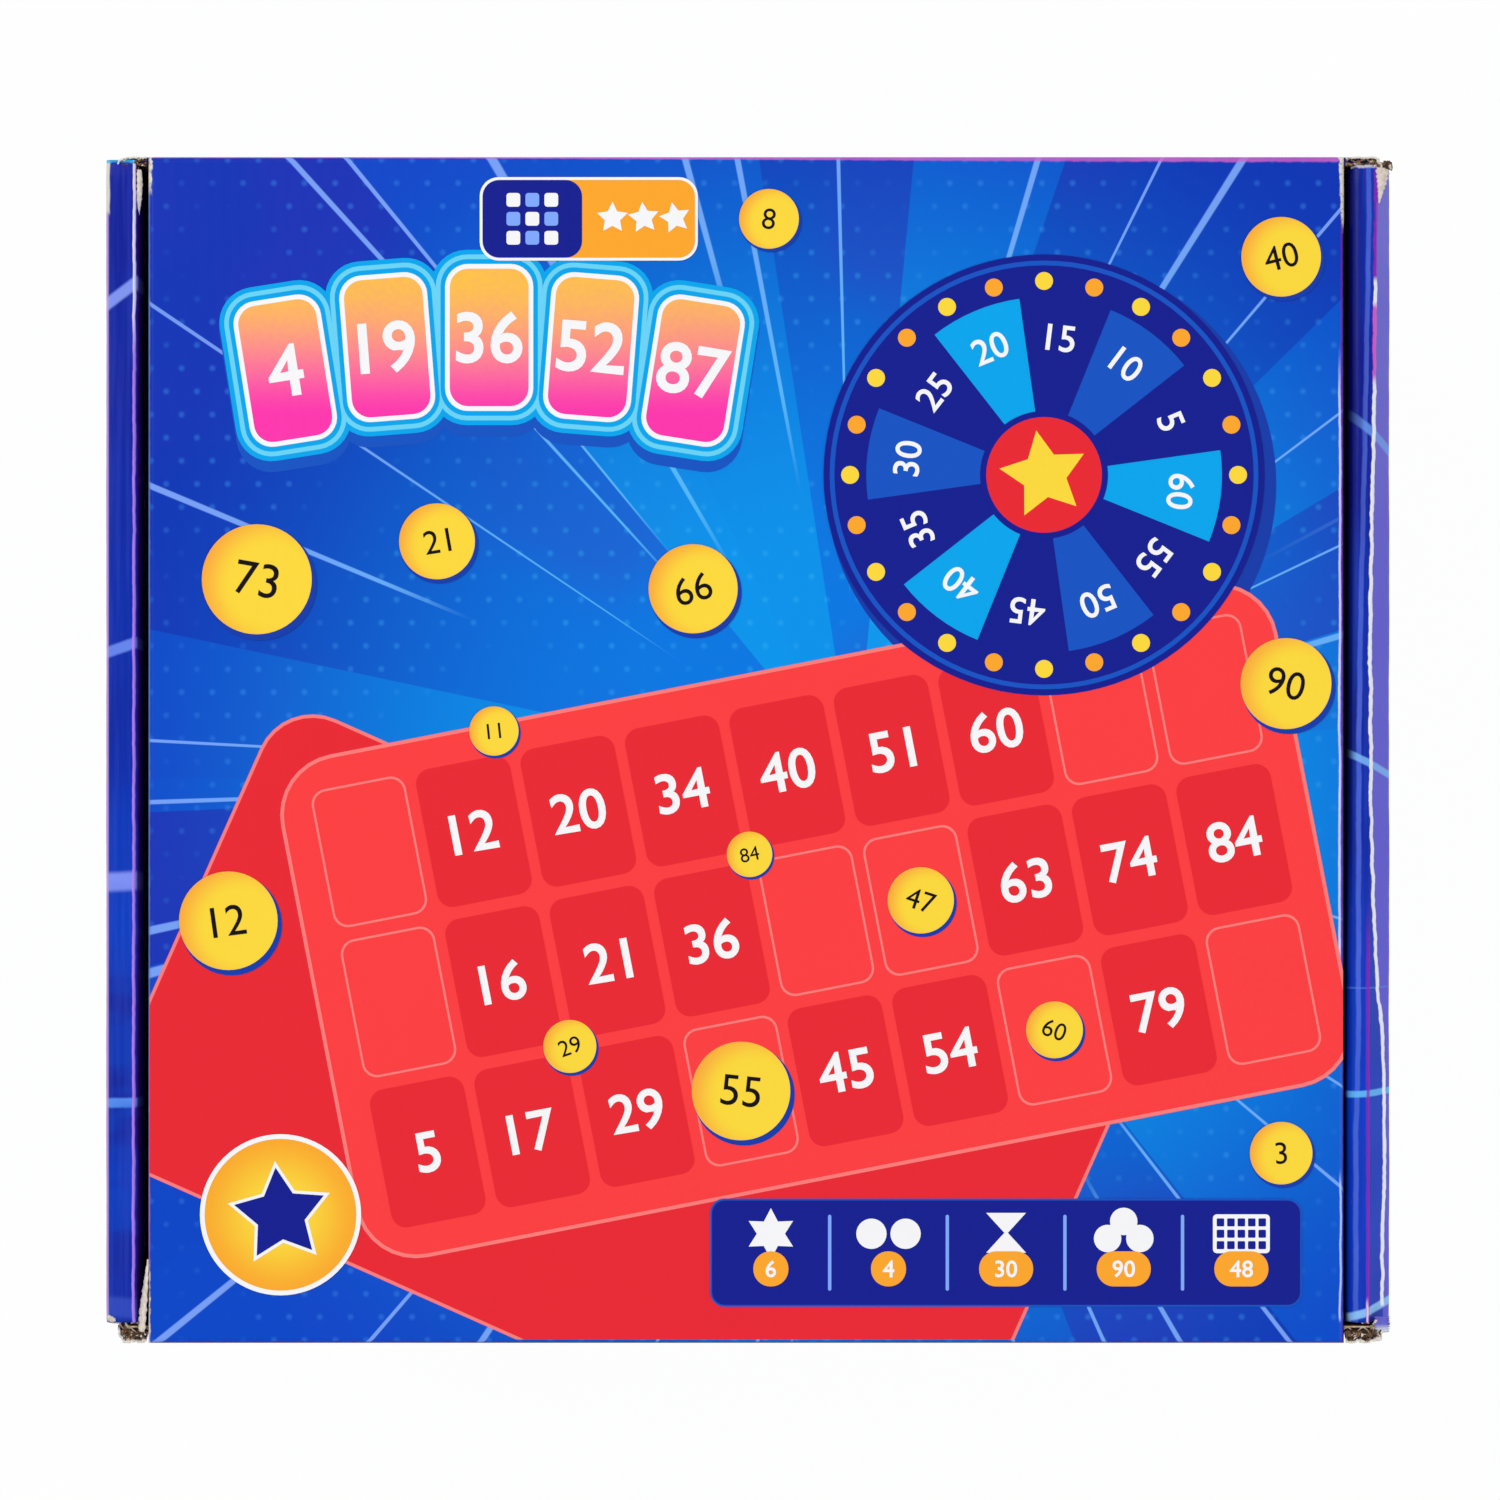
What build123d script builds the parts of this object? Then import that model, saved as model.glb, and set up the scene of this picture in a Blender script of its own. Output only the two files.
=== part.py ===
"""A boxed bingo game: a fluted-board carton with a hinged lid, and the game that it holds.

The frame is in millimetres, with +Z up. The carton lies on its base panel with the lid on top, and the
origin is on the table under the carton's middle. +Y points to the lid's hinge and +X to the crank.

Carton: base panel, hinge wall, front wall, rolled double side walls with the end walls' ears between
their layers, and a lid with a front flap and two dust flaps.
Game: a red tray with 90 numbered pockets, a ball cage in two halves that turns in two legs, its crank
and ball spout, 90 balls, and 48 cards held by a paper band under a folded instruction sheet.
"""

import math
import os

import numpy as np
from build123d import *

os.makedirs("parts", exist_ok=True)

# Carton: driving dimensions
carton_width = 272.0  # X, over the side walls
carton_length = 250.4  # Y, from the front flap to the hinge wall
board = 1.6  # thickness of the fluted board
layer_gap = 1.0  # air between the layers of a rolled side wall
lid_side_gap_left = 2.2  # between the lid and the rolled edge of a side wall
lid_side_gap_right = 3.8
crease_radius = 1.2  # outside radius of a crease in the board
roll_front_setback = 4.4  # a side wall's outer layer stops this far short of the front
roll_hinge_setback = 0.7
roll_slope_drop = 7.0  # height over which the rolled edge slopes away to the outside
left_roll_slope = 0.9  # how far in the slope begins at the top
right_roll_slope = 3.2
wall_end_gap = 0.5  # at the ends of the inner side walls
corner_fold_radius = 2.4  # outside radius of the fold between an end wall and its ear
corner_fold_drop = 2.2  # the fold's top lies this far under the rolled edges
roll_crown = 0.3  # how far the rolled edges stand above the lid's face
notch_clearance = 0.3

# Carton: flaps, ears and locking tabs
front_flap_drop = 52.0
front_flap_side_trim = 1.5
front_flap_taper = 9.0
front_flap_gap = 0.3  # to the front wall
dust_flap_drop = 24.0
dust_flap_taper = 12.0
left_dust_flap_trims = (17.0, 8.0)  # from the lid's front edge and from its hinge edge
right_dust_flap_trims = (7.0, 16.4)
ear_length = 62.0
ear_height_trim = 8.0
lock_tab_length = 28.0
lock_tab_spacing = 120.0
lock_tab_clearance = 0.3

# Ball cage
ball_diameter = 12.5
ball_count = 90
cage_radius = 59.0  # outside of the bars
bar_diameter = 2.4
bar_count = 32
band_width = 4.5  # along the axis, on each half
band_thickness = 3.6
band_seat = 0.4  # the band's inside lies this far outside the bars' inside
band_joint_gap = 0.1  # between the two halves
hub_radius = 13.0
hub_thickness = 4.6
hub_depth = 4.4  # how far inside the pole of the bars the hub begins
journal_radius = 8.4
journal_bore_radius = 6.8
journal_seat = 4.0  # length of journal that the crank or the spout grips
running_clearance = 0.06
fit_clearance = 0.1
thrust_gap = 0.5  # at each side of a leg's ring

# Clips that hold the two halves together
clip_count = 4
clip_sweep = 20.0  # degrees round the band
clip_thickness = 1.6
clip_side = 1.0
clip_hook = 1.2
clip_turn = 50.0  # degrees from the top of the cage to the first clip

# Legs
axis_rise = 65.0  # from the tray's top face to the cage's axis
ring_wall = 3.6
ring_width = 8.0
leg_thickness = 5.0
leg_neck_width = 10.0
leg_foot_width = 34.0
leg_foot_height = 5.0
leg_waist_width = 16.0
leg_waist_rise_share = 0.4  # height of the waist, as a share of axis_rise
leg_rib_width = 3.0
leg_rib_height = 1.5
foot_flange_reach = 4.0
foot_flange_thickness = 2.2
leg_tab_width = 11.0
leg_tab_spacing = 18.0
leg_tab_thickness = 3.0
leg_tab_drop = 4.5
leg_tab_clearance = 0.2

# Crank, its pin and its knob
crank_hub_radius = 11.0
crank_arm_thickness = 5.0
crank_cap_radius = 7.0
crank_cap_height = 2.5
crank_throw = 27.0
crank_end_radius = 6.5
crank_end_height = 1.2
crank_turn = 180.0  # degrees from straight up, towards the front, so the crank hangs down
crank_edge = 0.8
knob_radius = 9.6
knob_flat = 1.5  # cut from each end of the ball
knob_gap = 0.4
pin_radius = 2.4
pin_head_radius = 3.8
pin_head_thickness = 1.6
pin_head_room = 0.5
pin_root = 4.5  # how far the pin is pressed into the arm

# Ball spout
spout_radius = 11.0
spout_throat = 4.0
spout_scoop_length = 14.0
spout_scoop_radius = 9.2  # inside the scoop
spout_end_wall = 1.8

# Tray
tray_height = 10.0
tray_skin = 1.2
tray_clearance = 1.4  # to the carton's walls
tray_corner_cut = 12.0
tray_corner_radius = 10.0
tray_edge_radius = 1.4
tray_rim_width = 3.2
tray_rim_height = 1.0
tray_rim_edge = 0.5
pocket_radius = 6.8
pocket_depth = 3.9
pocket_rows = 9
pocket_columns = 5  # in each of the two blocks
row_pitch = 17.0
column_pitch = 21.5
block_gap = 42.0  # between the inner columns of the two blocks
first_row_inset = 18.0  # from the tray's front edge
groove_radius = 9.0
groove_depth = 3.4
groove_length = 116.0
groove_inset = 20.0  # from the tray's front edge
leg_pad_height = 6.0  # depth of the sockets' walls under the tray's face

# Cards, their band and the instruction sheet
card_count = 48
card_width = 112.0
card_length = 82.0
card_thickness = 0.5
card_air = 0.02
card_corner_radius = 3.0
card_stray = 0.5  # how far a card may lie out of line
card_side_inset = 9.5  # from the tray's left edge
card_front_inset = 10.5  # from the tray's front edge
card_band_width = 26.0
card_band_thickness = 0.3
card_band_slack = 0.2
sheet_width = 60.0
sheet_length = 42.0
sheet_turn = 9.0  # degrees, as it was dropped on the pile
sheet_side_share = 0.2  # how far it lies off the pile's middle, as a share of the card's width
sheet_thickness = 0.2
sheet_fold_gap = 0.3

# Clearances inside the carton
cage_lid_clearance = 1.2
cage_wall_clearance = 1.4
ball_clearance = 0.3  # between a ball and the bars
ball_spacing = 0.1  # between two balls
ball_settling_steps = 3000
overrun = 5.0  # how far a cutting tool runs past what it cuts

# Sizes that follow from the driving ones
roll_width = 3 * board + 2 * layer_gap
outer_x = carton_width / 2
inner_x = outer_x - roll_width
wall_half_width = outer_x - board - layer_gap
front_y = -carton_length / 2
hinge_y = carton_length / 2
front_outer_y = front_y + board + front_flap_gap
front_inner_y = front_outer_y + board
hinge_inner_y = hinge_y - board
lid_left_x = -inner_x + lid_side_gap_left
lid_right_x = inner_x - lid_side_gap_right

bar_path_radius = cage_radius - bar_diameter / 2
cage_inner_radius = cage_radius - bar_diameter
band_inner_radius = cage_inner_radius + band_seat
band_outer_radius = band_inner_radius + band_thickness
clip_outer_radius = band_outer_radius + clip_thickness

tray_top = board + tray_height
axis_z = tray_top + axis_rise
lid_under = axis_z + clip_outer_radius + cage_lid_clearance
lid_top = lid_under + board
carton_depth = lid_top + roll_crown
cage_y = hinge_inner_y - cage_wall_clearance - clip_outer_radius

hub_inner_x = cage_radius - hub_depth
hub_outer_x = hub_inner_x + hub_thickness
ring_inner_x = hub_outer_x + thrust_gap
ring_outer_x = ring_inner_x + ring_width
seat_x = ring_outer_x + thrust_gap
journal_end_x = seat_x + journal_seat
arm_x = journal_end_x + fit_clearance
arm_outer_x = arm_x + crank_arm_thickness
ring_bore_radius = journal_radius + running_clearance
ring_radius = ring_bore_radius + ring_wall
ring_middle_x = (ring_inner_x + ring_outer_x) / 2

tray_half_width = inner_x - tray_clearance
tray_front_y = front_inner_y + tray_clearance
tray_hinge_y = hinge_inner_y - tray_clearance
tray_middle_y = (tray_front_y + tray_hinge_y) / 2
first_row_y = tray_front_y + first_row_inset

# Sketches on axis_plane face along the cage's axis, with the sketch's X to the hinge and its Y up.
axis_plane = Plane(origin=(0, cage_y, axis_z), x_dir=(0, 1, 0), z_dir=(1, 0, 0))
# Profiles on profile_plane are turned about the cage's axis: X along it, Y away from it.
profile_plane = Plane(origin=(0, cage_y, axis_z), x_dir=(1, 0, 0), z_dir=(0, -1, 0))
cage_axis = Axis((0, cage_y, axis_z), (1, 0, 0))


def save(part, name):
    """Labels a finished piece and writes it under its name."""
    part.label = name
    export_step(part, f"parts/{name}.step")


def slab(low, high):
    """A plain block between two opposite corners."""
    size = [high[i] - low[i] for i in range(3)]
    middle = [(high[i] + low[i]) / 2 for i in range(3)]
    return Pos(*middle) * Box(*size, mode=Mode.PRIVATE)


def axis_point(x, along_y, rise):
    """A point in the part's frame from its place seen along the cage's axis."""
    return (x, cage_y + along_y, axis_z + rise)


# Carton base, with slots for the locking tabs of the inner side walls
with BuildPart() as base_panel:
    with BuildSketch(Plane.XY):
        with Locations((0, (front_outer_y + hinge_y) / 2)):
            Rectangle(carton_width, hinge_y - front_outer_y)
        with GridLocations(2 * inner_x + board, lock_tab_spacing, 2, 2):
            Rectangle(
                board + 2 * lock_tab_clearance,
                lock_tab_length + 2 * lock_tab_clearance,
                mode=Mode.SUBTRACT,
            )
    extrude(amount=board)
save(base_panel.part, "base_panel")

# End walls, and the ears that they fold in between the layers of the side walls
end_wall_half_width = wall_half_width - corner_fold_radius

with BuildPart() as hinge_wall:
    add(slab((-end_wall_half_width, hinge_inner_y, board), (end_wall_half_width, hinge_y, lid_under)))
save(hinge_wall.part, "hinge_wall")

with BuildPart() as front_wall:
    add(
        slab(
            (-end_wall_half_width, front_outer_y, board),
            (end_wall_half_width, front_inner_y, lid_under),
        )
    )
save(front_wall.part, "front_wall")


def wall_ears(outside_y, direction):
    """The two ears of an end wall, each with the fold that joins it to the wall."""
    fold_y = outside_y + direction * corner_fold_radius
    fold_top = carton_depth - corner_fold_drop
    ear_top = lid_under - ear_height_trim
    ear_end = fold_y + direction * ear_length
    with BuildPart() as ears:
        with BuildSketch(Plane.XY.offset(board)):
            with Locations((end_wall_half_width, fold_y)):
                Circle(corner_fold_radius)
                Circle(corner_fold_radius - board, mode=Mode.SUBTRACT)
                keep_y = -direction * corner_fold_radius / 2
                with Locations((corner_fold_radius / 2, keep_y)):
                    Rectangle(corner_fold_radius, corner_fold_radius, mode=Mode.INTERSECT)
        extrude(amount=fold_top - board)
        with BuildSketch(Plane.YZ.offset(wall_half_width - board)):
            with BuildLine():
                Polyline(
                    (fold_y, board),
                    (ear_end, board),
                    (ear_end, ear_top - ear_length / 2),
                    (fold_y + direction * ear_length / 2, ear_top),
                    (fold_y, ear_top),
                    close=True,
                )
            make_face()
        extrude(amount=board)
        mirror(about=Plane.YZ)
    return ears.part


save(wall_ears(front_outer_y, 1), "front_wall_ears")
save(wall_ears(hinge_y, -1), "hinge_wall_ears")


def side_wall(roll_slope):
    """The right side wall: the outer layer with its rolled top edge, and the tabbed inner layer."""
    roll_front_y = front_y + roll_front_setback
    roll_hinge_y = hinge_y - roll_hinge_setback
    slope_z = carton_depth - roll_slope_drop
    slope_share = (carton_depth - lid_under) / roll_slope_drop
    with BuildPart() as outer_layer:
        with BuildSketch(Plane.XZ.offset(-roll_hinge_y)):
            with BuildLine():
                Polyline(
                    (outer_x, board),
                    (outer_x, slope_z),
                    (outer_x - roll_slope, carton_depth),
                    (inner_x, carton_depth),
                    (inner_x, lid_under),
                    (outer_x - board - roll_slope * (1 - slope_share), lid_under),
                    (outer_x - board, slope_z),
                    (outer_x - board, board),
                    close=True,
                )
            make_face()
        extrude(amount=roll_hinge_y - roll_front_y)
        fillet(outer_layer.edges().filter_by(Axis.Y).group_by(Axis.Z)[-1], crease_radius)
        notch_y = hinge_y - corner_fold_radius - notch_clearance
        notch_end_x = wall_half_width + notch_clearance
        add(
            slab((inner_x - overrun, notch_y, slope_z), (notch_end_x, hinge_y, carton_depth + overrun)),
            mode=Mode.SUBTRACT,
        )
    with BuildPart() as inner_layer:
        add(
            slab(
                (inner_x, front_inner_y + wall_end_gap, board),
                (inner_x + board, hinge_inner_y - wall_end_gap, lid_under),
            )
        )
        with BuildSketch(Plane.XY):
            with Locations((inner_x + board / 2, 0)):
                with GridLocations(board, lock_tab_spacing, 1, 2):
                    Rectangle(board, lock_tab_length)
        extrude(amount=board)
    return outer_layer.part, inner_layer.part


right_outer, right_inner = side_wall(right_roll_slope)
save(right_outer, "right_wall_outer")
save(right_inner, "right_wall_inner")
left_outer, left_inner = side_wall(left_roll_slope)
save(mirror(left_outer, about=Plane.YZ), "left_wall_outer")
save(mirror(left_inner, about=Plane.YZ), "left_wall_inner")

# Lid and its flaps
with BuildPart() as lid_panel:
    add(slab((lid_left_x, front_y, lid_under), (lid_right_x, hinge_y, lid_top)))
    fillet(lid_panel.faces().sort_by(Axis.Z)[-1].edges(), crease_radius)
save(lid_panel.part, "lid_panel")

with BuildPart() as front_flap:
    with BuildSketch(Plane.XZ.offset(-front_y - board)):
        with BuildLine():
            flap_left = lid_left_x + front_flap_side_trim
            flap_right = lid_right_x - front_flap_side_trim
            flap_bottom = lid_under - front_flap_drop
            Polyline(
                (flap_left, lid_under),
                (flap_left, flap_bottom + front_flap_taper),
                (flap_left + front_flap_taper, flap_bottom),
                (flap_right - front_flap_taper, flap_bottom),
                (flap_right, flap_bottom + front_flap_taper),
                (flap_right, lid_under),
                close=True,
            )
        make_face()
    extrude(amount=board)
save(front_flap.part, "lid_front_flap")


def dust_flap(start_x, trims):
    """A flap that hangs from a side edge of the lid, one board thick from start_x towards +X."""
    front_trim, hinge_trim = trims
    near_y = front_y + front_trim
    far_y = hinge_y - hinge_trim
    dust_bottom = lid_under - dust_flap_drop
    with BuildPart() as flap:
        with BuildSketch(Plane.YZ.offset(start_x)):
            with BuildLine():
                Polyline(
                    (near_y, lid_under),
                    (far_y, lid_under),
                    (far_y - dust_flap_taper, dust_bottom),
                    (near_y + dust_flap_taper, dust_bottom),
                    close=True,
                )
            make_face()
        extrude(amount=board)
    return flap.part


save(dust_flap(lid_left_x, left_dust_flap_trims), "lid_left_dust_flap")
save(dust_flap(lid_right_x - board, right_dust_flap_trims), "lid_right_dust_flap")


# Ball cage. Each half is one moulding on the real object: it is kept here as its band, bars and hub.
band_start_x = band_joint_gap / 2
band_end_x = band_start_x + band_width

with BuildPart() as right_band:
    with BuildSketch(profile_plane):
        with BuildLine():
            Polyline(
                (band_start_x, band_inner_radius),
                (band_end_x, band_inner_radius),
                (band_end_x, band_outer_radius),
                (band_start_x, band_outer_radius),
                close=True,
            )
        make_face()
    revolve(axis=cage_axis)
save(right_band.part, "right_cage_band")
save(mirror(right_band.part, about=Plane.YZ), "left_cage_band")

with BuildPart() as right_hub:
    with BuildSketch(profile_plane):
        with BuildLine():
            Polyline(
                (hub_inner_x, journal_bore_radius),
                (hub_inner_x, hub_radius),
                (hub_outer_x, hub_radius),
                (hub_outer_x, journal_radius),
                (journal_end_x, journal_radius),
                (journal_end_x, journal_bore_radius),
                close=True,
            )
        make_face()
    revolve(axis=cage_axis)
save(right_hub.part, "right_cage_hub")
save(mirror(right_hub.part, about=Plane.YZ), "left_cage_hub")

# One bar at the top of the right half, from the band's side to the hub's rim
with BuildPart() as cage_bar:
    with BuildSketch(Plane(origin=axis_point(0, 0, bar_path_radius), x_dir=(0, 1, 0), z_dir=(1, 0, 0))):
        Circle(bar_diameter / 2)
    bar_sweep = math.degrees(math.acos((hub_radius - bar_diameter) / bar_path_radius))
    revolve(axis=Axis((0, cage_y, axis_z), (0, 1, 0)), revolution_arc=bar_sweep)
    with BuildSketch(axis_plane.offset(hub_inner_x - overrun)):
        Circle(hub_radius)
    extrude(amount=hub_depth + 2 * overrun, mode=Mode.SUBTRACT)
    split(bisect_by=Plane.YZ.offset(band_end_x), keep=Keep.TOP)

bar_pitch = 360 / bar_count
with BuildPart() as right_bars:
    add([cage_bar.part.rotate(cage_axis, (i + 1 / 2) * bar_pitch) for i in range(bar_count)])
save(right_bars.part, "right_cage_bars")
save(mirror(right_bars.part, about=Plane.YZ), "left_cage_bars")

# Clips over the band; each one grips the sides of both halves
clip_side_x = band_end_x + clip_side
hook_radius = band_outer_radius - clip_hook
clip_pitch = 360 / clip_count

with BuildPart() as clip:
    with BuildSketch(profile_plane):
        with BuildLine():
            Polyline(
                (-clip_side_x, hook_radius),
                (-band_end_x, hook_radius),
                (-band_end_x, band_outer_radius),
                (band_end_x, band_outer_radius),
                (band_end_x, hook_radius),
                (clip_side_x, hook_radius),
                (clip_side_x, clip_outer_radius),
                (-clip_side_x, clip_outer_radius),
                close=True,
            )
        make_face()
    revolve(axis=cage_axis, revolution_arc=clip_sweep)

with BuildPart() as cage_clips:
    add([clip.part.rotate(cage_axis, clip_turn + i * clip_pitch) for i in range(clip_count)])
save(cage_clips.part, "cage_clips")


# Legs
def cage_leg():
    """The right leg: bearing ring, tapered upright with a rib, foot flange and two socket tabs."""
    waist_z = axis_rise * leg_waist_rise_share - axis_rise
    foot_z = -axis_rise
    with BuildPart() as leg:
        with BuildSketch(axis_plane.offset(ring_middle_x - leg_thickness / 2)):
            with BuildLine():
                Polyline(
                    (-leg_neck_width / 2, -ring_radius / 2),
                    (-leg_waist_width / 2, waist_z),
                    (-leg_foot_width / 2, foot_z + leg_foot_height),
                    (-leg_foot_width / 2, foot_z),
                    (leg_foot_width / 2, foot_z),
                    (leg_foot_width / 2, foot_z + leg_foot_height),
                    (leg_waist_width / 2, waist_z),
                    (leg_neck_width / 2, -ring_radius / 2),
                    close=True,
                )
            make_face()
        extrude(amount=leg_thickness)
        with BuildSketch(axis_plane.offset(ring_inner_x)):
            Circle(ring_radius)
        extrude(amount=ring_width)
        rib_bottom = axis_point(ring_middle_x, -leg_rib_width / 2, foot_z + foot_flange_thickness / 2)
        rib_top = axis_point(ring_middle_x + leg_thickness / 2, leg_rib_width / 2, -ring_radius / 2)
        add(slab(rib_bottom, (rib_top[0] + leg_rib_height, rib_top[1], rib_top[2])))
        flange_half = leg_thickness / 2 + foot_flange_reach
        add(
            slab(
                axis_point(ring_middle_x - flange_half, -leg_foot_width / 2, foot_z),
                axis_point(
                    ring_middle_x + flange_half, leg_foot_width / 2, foot_z + foot_flange_thickness
                ),
            )
        )
        with BuildSketch(Plane.XY.offset(tray_top)):
            with Locations((ring_middle_x, cage_y)):
                with GridLocations(leg_tab_thickness, leg_tab_spacing, 1, 2):
                    Rectangle(leg_tab_thickness, leg_tab_width)
        extrude(amount=-leg_tab_drop)
        with BuildSketch(axis_plane.offset(ring_inner_x - overrun)):
            Circle(ring_bore_radius)
        extrude(amount=ring_width + 2 * overrun, mode=Mode.SUBTRACT)
    return leg.part


right_leg = cage_leg()
save(right_leg, "right_leg")
save(mirror(right_leg, about=Plane.YZ), "left_leg")

# Crank, gripped on the right journal
crank_lean = math.radians(crank_turn)
knob_y = -crank_throw * math.sin(crank_lean)
knob_rise = crank_throw * math.cos(crank_lean)
end_x = arm_outer_x + crank_end_height

with BuildPart() as crank:
    with BuildSketch(axis_plane.offset(seat_x)):
        Circle(crank_hub_radius)
        Circle(journal_radius + fit_clearance, mode=Mode.SUBTRACT)
    extrude(amount=arm_x - seat_x)
    with BuildSketch(axis_plane.offset(arm_x)):
        Circle(crank_hub_radius)
        with Locations((knob_y, knob_rise)):
            Circle(crank_end_radius)
        make_hull()
    extrude(amount=crank_arm_thickness)
    chamfer(crank.faces().sort_by(Axis.X)[-1].edges(), crank_edge)
    with BuildSketch(axis_plane.offset(arm_outer_x)):
        Circle(crank_cap_radius)
    extrude(amount=crank_cap_height)
    chamfer(crank.faces().sort_by(Axis.X)[-1].edges(), crank_edge)
    with BuildSketch(axis_plane.offset(arm_outer_x - crank_edge)):
        with Locations((knob_y, knob_rise)):
            Circle(crank_end_radius - crank_edge)
    extrude(amount=crank_end_height + crank_edge)
    with BuildSketch(axis_plane.offset(end_x - pin_root)):
        with Locations((knob_y, knob_rise)):
            Circle(pin_radius)
    extrude(amount=pin_root + overrun, mode=Mode.SUBTRACT)
save(crank.part, "crank")

# Knob: a ball with flats, bored for the pin and recessed for the pin's head
knob_start_x = end_x + knob_gap
knob_end_x = knob_start_x + 2 * (knob_radius - knob_flat)
recess_depth = knob_flat + pin_head_thickness + pin_head_room
recess_x = knob_end_x - recess_depth

knob_plane = Plane(origin=axis_point(0, knob_y, knob_rise), x_dir=(1, 0, 0), z_dir=(0, -1, 0))
knob_bore = pin_radius + running_clearance
knob_recess = pin_head_radius + pin_head_room
flat_radius = math.sqrt(knob_radius**2 - (knob_radius - knob_flat) ** 2)

with BuildPart() as knob:
    with BuildSketch(knob_plane):
        with BuildLine():
            Polyline(
                (knob_end_x, flat_radius),
                (knob_end_x, knob_recess),
                (recess_x, knob_recess),
                (recess_x, knob_bore),
                (knob_start_x, knob_bore),
                (knob_start_x, flat_radius),
            )
            ThreePointArc(
                (knob_start_x, flat_radius),
                ((knob_start_x + knob_end_x) / 2, knob_radius),
                (knob_end_x, flat_radius),
            )
        make_face()
    revolve(axis=Axis(axis_point(0, knob_y, knob_rise), (1, 0, 0)))
save(knob.part, "crank_knob")

with BuildPart() as knob_pin:
    with BuildSketch(axis_plane.offset(end_x - pin_root)):
        with Locations((knob_y, knob_rise)):
            Circle(pin_radius)
    extrude(amount=recess_x + pin_head_room - (end_x - pin_root))
    with BuildSketch(axis_plane.offset(recess_x + pin_head_room)):
        with Locations((knob_y, knob_rise)):
            Circle(pin_head_radius)
    extrude(amount=pin_head_thickness)
save(knob_pin.part, "knob_pin")

# Ball spout, gripped on the left journal; balls leave through the hollow journal into its scoop
with BuildPart() as right_spout:
    scoop_x = arm_x + spout_throat
    scoop_end_x = scoop_x + spout_scoop_length
    with BuildSketch(profile_plane):
        with BuildLine():
            Polyline(
                (seat_x, journal_radius + fit_clearance),
                (seat_x, spout_radius),
                (scoop_end_x + spout_end_wall, spout_radius),
                (scoop_end_x + spout_end_wall, 0),
                (scoop_end_x, 0),
                (scoop_end_x, spout_scoop_radius),
                (scoop_x, spout_scoop_radius),
                (scoop_x, journal_bore_radius),
                (arm_x, journal_bore_radius),
                (arm_x, journal_radius + fit_clearance),
                close=True,
            )
        make_face()
    revolve(axis=cage_axis)
    add(
        slab(
            axis_point(scoop_x, -spout_radius - overrun, 0),
            axis_point(scoop_end_x + overrun, spout_radius + overrun, spout_radius + overrun),
        ),
        mode=Mode.SUBTRACT,
    )
save(mirror(right_spout.part, about=Plane.YZ), "ball_spout")


# Balls
def ball_centres():
    """Drops the balls into the cage, lets them push each other apart and returns their centres."""
    reach = cage_inner_radius - ball_clearance - ball_diameter / 2
    least = ball_diameter + ball_spacing
    draw = np.random.default_rng(11)
    places = draw.uniform(-1, 1, (ball_count, 3)) * reach / 2
    for step in range(ball_settling_steps):
        places[:, 2] -= ball_spacing * max(0, 1 - 2 * step / ball_settling_steps)
        apart = places[:, None, :] - places[None, :, :]
        distance = np.linalg.norm(apart, axis=2) + np.eye(ball_count) * reach
        squeeze = np.clip(least - distance, 0, None)
        places += (apart / distance[:, :, None] * squeeze[:, :, None]).sum(axis=1) / 2
        radius = np.linalg.norm(places, axis=1)
        places *= np.minimum(1, reach / radius)[:, None]
    return places


with BuildPart() as balls:
    with Locations([axis_point(*place) for place in ball_centres()]):
        Sphere(ball_diameter / 2)
save(balls.part, "numbered_balls")

# Tray
pocket_rise = pocket_radius - pocket_depth
pocket_places = [
    (
        side * (block_gap / 2 + column * column_pitch),
        first_row_y + row * row_pitch,
        tray_top + pocket_rise,
    )
    for side in (-1, 1)
    for column in range(pocket_columns)
    for row in range(pocket_rows)
]
groove_rise = groove_radius - groove_depth
groove_start_y = tray_front_y + groove_inset


def round_channel(radius):
    """A bar with ball ends along the tray's middle, at the height of the ball channel."""
    centre_y = groove_start_y + groove_length / 2
    with BuildPart() as channel:
        with BuildSketch(Plane.XY.offset(tray_top + groove_rise)):
            with Locations((0, centre_y)):
                SlotCenterToCenter(groove_length, 2 * radius, rotation=90)
            with Locations((radius, centre_y)):
                Rectangle(2 * radius, groove_length + 4 * radius, mode=Mode.INTERSECT)
        revolve(axis=Axis((0, centre_y, tray_top + groove_rise), (0, 1, 0)))
    return channel.part


def tray_block(inset, height):
    """The tray's outline with cut and rounded corners, drawn in by inset."""
    with BuildPart() as block:
        with BuildSketch(Plane.XY.offset(board)) as outline:
            with Locations((0, tray_middle_y)):
                Rectangle(2 * tray_half_width, tray_hinge_y - tray_front_y)
            chamfer(outline.vertices(), tray_corner_cut)
            fillet(outline.vertices(), tray_corner_radius)
            if inset:
                offset(amount=-inset, mode=Mode.REPLACE)
        extrude(amount=height)
    return block.part


rim_inset = tray_edge_radius + tray_rim_edge
rim_outside = tray_block(rim_inset, tray_height + tray_rim_height)
rim_inside = tray_block(rim_inset + tray_rim_width, tray_height + tray_rim_height)

with BuildPart() as tray_rim:
    add(rim_outside)
    add(rim_inside, mode=Mode.SUBTRACT)
    fillet(tray_rim.faces().sort_by(Axis.Z)[-1].edges(), tray_rim_edge)
    rim_floor = tray_top - tray_skin / 2
    split(bisect_by=Plane.XY.offset(rim_floor), keep=Keep.TOP)
rim = tray_rim.part

tray_shape = tray_block(0, tray_height)
hollow_shape = tray_block(tray_skin, tray_height - tray_skin)
channel_cut = round_channel(groove_radius)
channel_shell = round_channel(groove_radius + tray_skin)

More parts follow.
